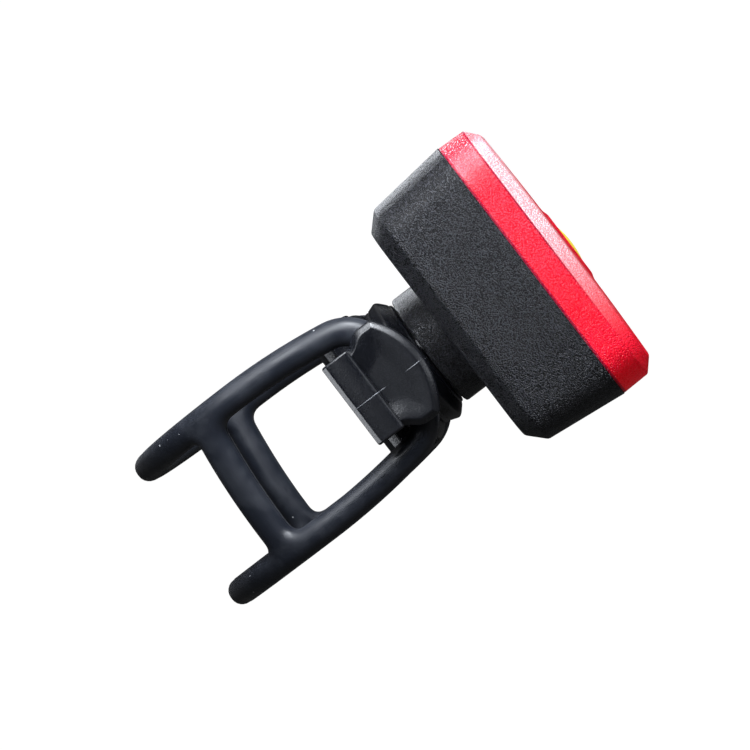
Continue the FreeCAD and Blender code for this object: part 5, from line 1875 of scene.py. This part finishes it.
@dataclass
class Camera:
    """Camera at the photograph's viewpoint, in millimetres, radians and pixels of a 750 wide picture."""

    place: Spot = (-400.0, -44.8, -7.0)
    azimuth: float = 0.07445
    rise: float = 0.02187
    roll: float = -0.65054
    focal_px: float = 3113.6
    picture: int = 750
    sensor: float = 36.0
    clip: Span = (0.01, 20.0)

    def build(self) -> None:
        """Makes the camera: it looks along (cos e cos a, cos e sin a, sin e), rolled about that."""
        a, e, r = self.azimuth, self.rise, self.roll
        look = Vector((math.cos(e) * math.cos(a), math.cos(e) * math.sin(a), math.sin(e)))
        level = look.cross(Vector((0, 0, 1))).normalized()
        above = level.cross(look)
        right = level * math.cos(r) + above * math.sin(r)
        up = -level * math.sin(r) + above * math.cos(r)
        data = bpy.data.cameras.new("photo_camera")
        data.sensor_width = self.sensor
        data.lens = self.focal_px / self.picture * self.sensor
        data.clip_start, data.clip_end = self.clip
        camera = bpy.data.objects.new("photo_camera", data)
        turn = Matrix((right, up, -look)).transposed().to_4x4()
        camera.matrix_world = Matrix.Translation(Vector(self.place) * MM) @ turn
        bpy.context.scene.collection.objects.link(camera)
        bpy.context.scene.camera = camera


MOUNT = ("post_bracket", "ladder_strap", "twist_ring")
FRONT = ("red_cover", "push_button")
BRACKET = ("post_bracket",)


@dataclass(frozen=True)
class SoftBox:
    """Square soft box, in millimetres and watts, and the pieces that it lights; none stands for all."""

    name: str
    place: Spot
    size: float
    power: float
    lit: tuple[str, ...] = ()


@dataclass
class Studio:
    """Floor and surround that the camera sees as white, a dim light from above, and soft boxes."""

    floor_z: float = -110.0
    floor_half: float = 1500.0
    floor_flat: float = 700.0
    floor_rise: float = 900.0
    floor_points: int = 41
    above: Spot = (-0.12, -0.82, 0.56)
    aim: Spot = (0.0, -15.0, 0.0)
    tint: Spot = (0.9, 0.94, 1.0)
    boxes: tuple[SoftBox, ...] = (
        SoftBox("key_box", (-160.0, -235.0, 288.0), 120.0, 1.8),
        SoftBox("near_front_box", (-60.0, -70.0, 60.0), 40.0, 0.012),
        SoftBox("near_back_box", (-150.0, 10.0, 120.0), 80.0, 0.02, MOUNT + FRONT),
        SoftBox("near_top_box", (-45.0, -10.0, 95.0), 50.0, 0.03, MOUNT + FRONT),
        SoftBox("corner_box", (-60.0, -42.0, 46.0), 26.0, 0.032),
        SoftBox("boss_box", (-66.0, -12.0, 46.0), 30.0, 0.036),
        SoftBox("left_box", (-225.0, 150.0, 120.0), 50.0, 0.035, MOUNT),
        SoftBox("flank_box", (-50.0, 250.0, 30.0), 150.0, 0.42, BRACKET),
        SoftBox("hook_top_box", (-75.0, -30.0, 230.0), 80.0, 0.2, BRACKET),
        SoftBox("rim_box", (-125.0, -300.0, 180.0), 120.0, 0.5, BRACKET),
        SoftBox("low_rim_box", (-115.0, -370.0, -50.0), 120.0, 0.14, BRACKET),
        SoftBox("lip_box", (-111.0, -164.0, 253.0), 110.0, 0.08, BRACKET),
        SoftBox("side_box", (-330.0, 75.0, 30.0), 60.0, 0.018, BRACKET),
        SoftBox("far_box", (240.0, 40.0, 200.0), 140.0, 0.5, ("rear_shell",) + FRONT),
    )

    def floor(self) -> None:
        """Makes the floor: a flat grid whose rim rises by the square of the distance past the flat part."""
        n = self.floor_points
        line = np.linspace(-self.floor_half, self.floor_half, n)
        x, y = np.meshgrid(line, line)
        reach = np.maximum(np.hypot(x, y) - self.floor_flat, 0.0)
        z = self.floor_z + reach**2 / self.floor_rise
        index = np.arange(n * n).reshape(n, n)
        quads = np.stack([index[:-1, :-1], index[:-1, 1:], index[1:, 1:], index[1:, :-1]], -1).reshape(-1, 4)
        mesh = bpy.data.meshes.new("floor")
        mesh.from_pydata((np.stack([x, y, z], -1).reshape(-1, 3) * MM).tolist(), [], quads.tolist())
        mesh.polygons.foreach_set("use_smooth", np.ones(len(mesh.polygons), bool))
        material, s = started("pale_floor")
        paper = s.noise(s.place(), 90.0, 3.0)
        tone = s.mixed(paper, (0.11, 0.108, 0.105, 1.0), (0.13, 0.128, 0.125, 1.0))
        seen = s.add("ShaderNodeLightPath").outputs["Is Camera Ray"]
        glow = s.mixed(seen, (0.0, 0.0, 0.0, 1.0), (1.0, 1.0, 1.0, 1.0))
        s.principled(Base_Color=tone, Roughness=0.9, Specular_IOR_Level=0.1, Emission_Color=glow,
                     Emission_Strength=1.0)
        mesh.materials.append(material)
        ground = bpy.data.objects.new("floor", mesh)
        bpy.context.scene.collection.objects.link(ground)

    def surround(self) -> None:
        """Makes the world: white to the camera, and to the pieces brighter from above than from below."""
        world = bpy.data.worlds.new("surround")
        bpy.context.scene.world = world
        world.use_nodes = True
        s = Sheet(world.node_tree)
        way = s.add("ShaderNodeTexCoord").outputs["Generated"]
        above = Vector(self.above).normalized()
        both = {0: way, 1: tuple(above)}
        share = s.add("ShaderNodeVectorMath", both, operation="DOT_PRODUCT").outputs["Value"]
        glow = s.ramp(share, -0.3, 1.0, 0.006, 0.4)
        seen = s.add("ShaderNodeLightPath").outputs["Is Camera Ray"]
        strength = s.add("ShaderNodeMix", {0: seen, 2: glow, 3: 1.15}).outputs[0]
        shader = s.add("ShaderNodeBackground", {"Color": (1.0, 1.0, 1.0, 1.0), "Strength": strength})
        s.add("ShaderNodeOutputWorld", {"Surface": shader.outputs[0]})

    def light(self, box: SoftBox) -> None:
        """Adds a soft box that looks at the light.

        Its pieces are lit as with flags in front of the others, by light linking.

        Args:
            box: the soft box.
        """
        data = bpy.data.lights.new(box.name, "AREA")
        data.energy = box.power
        data.size = box.size * MM
        data.color = self.tint
        lamp = bpy.data.objects.new(box.name, data)
        lamp.visible_camera = False
        lamp.location = Vector(box.place) * MM
        look = Vector(self.aim) * MM - lamp.location
        lamp.rotation_euler = look.to_track_quat("-Z", "Y").to_euler()
        bpy.context.scene.collection.objects.link(lamp)
        if box.lit:
            group = bpy.data.collections.new(f"{box.name}_lit")
            for piece in box.lit:
                group.objects.link(bpy.data.objects[piece])
            lamp.light_linking.receiver_collection = group

    def build(self) -> None:
        """Makes the stage."""
        self.floor()
        self.surround()
        for box in self.boxes:
            self.light(box)
        view = bpy.context.scene.view_settings
        view.view_transform = "Standard"
        view.look = "None"
        view.exposure = 0.0
        view.gamma = 1.0


def main() -> None:
    """Builds the light on its frame."""
    logging.basicConfig(level=logging.INFO, format="%(name)s %(message)s")
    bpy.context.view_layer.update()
    finishes = Finishes()
    strap = LadderStrap()
    housing = RearHousing()
    parts = (strap, PostBracket(strap), TwistSocket(), housing, LensCover(), PushButton(), PortCover(housing),
             InnerParts())
    for part in parts:
        part.build(finishes)
        log.info("%s done", type(part).__name__)
    Studio().build()
    Camera().build()
    bpy.context.view_layer.update()


if __name__ == "__main__":
    main()
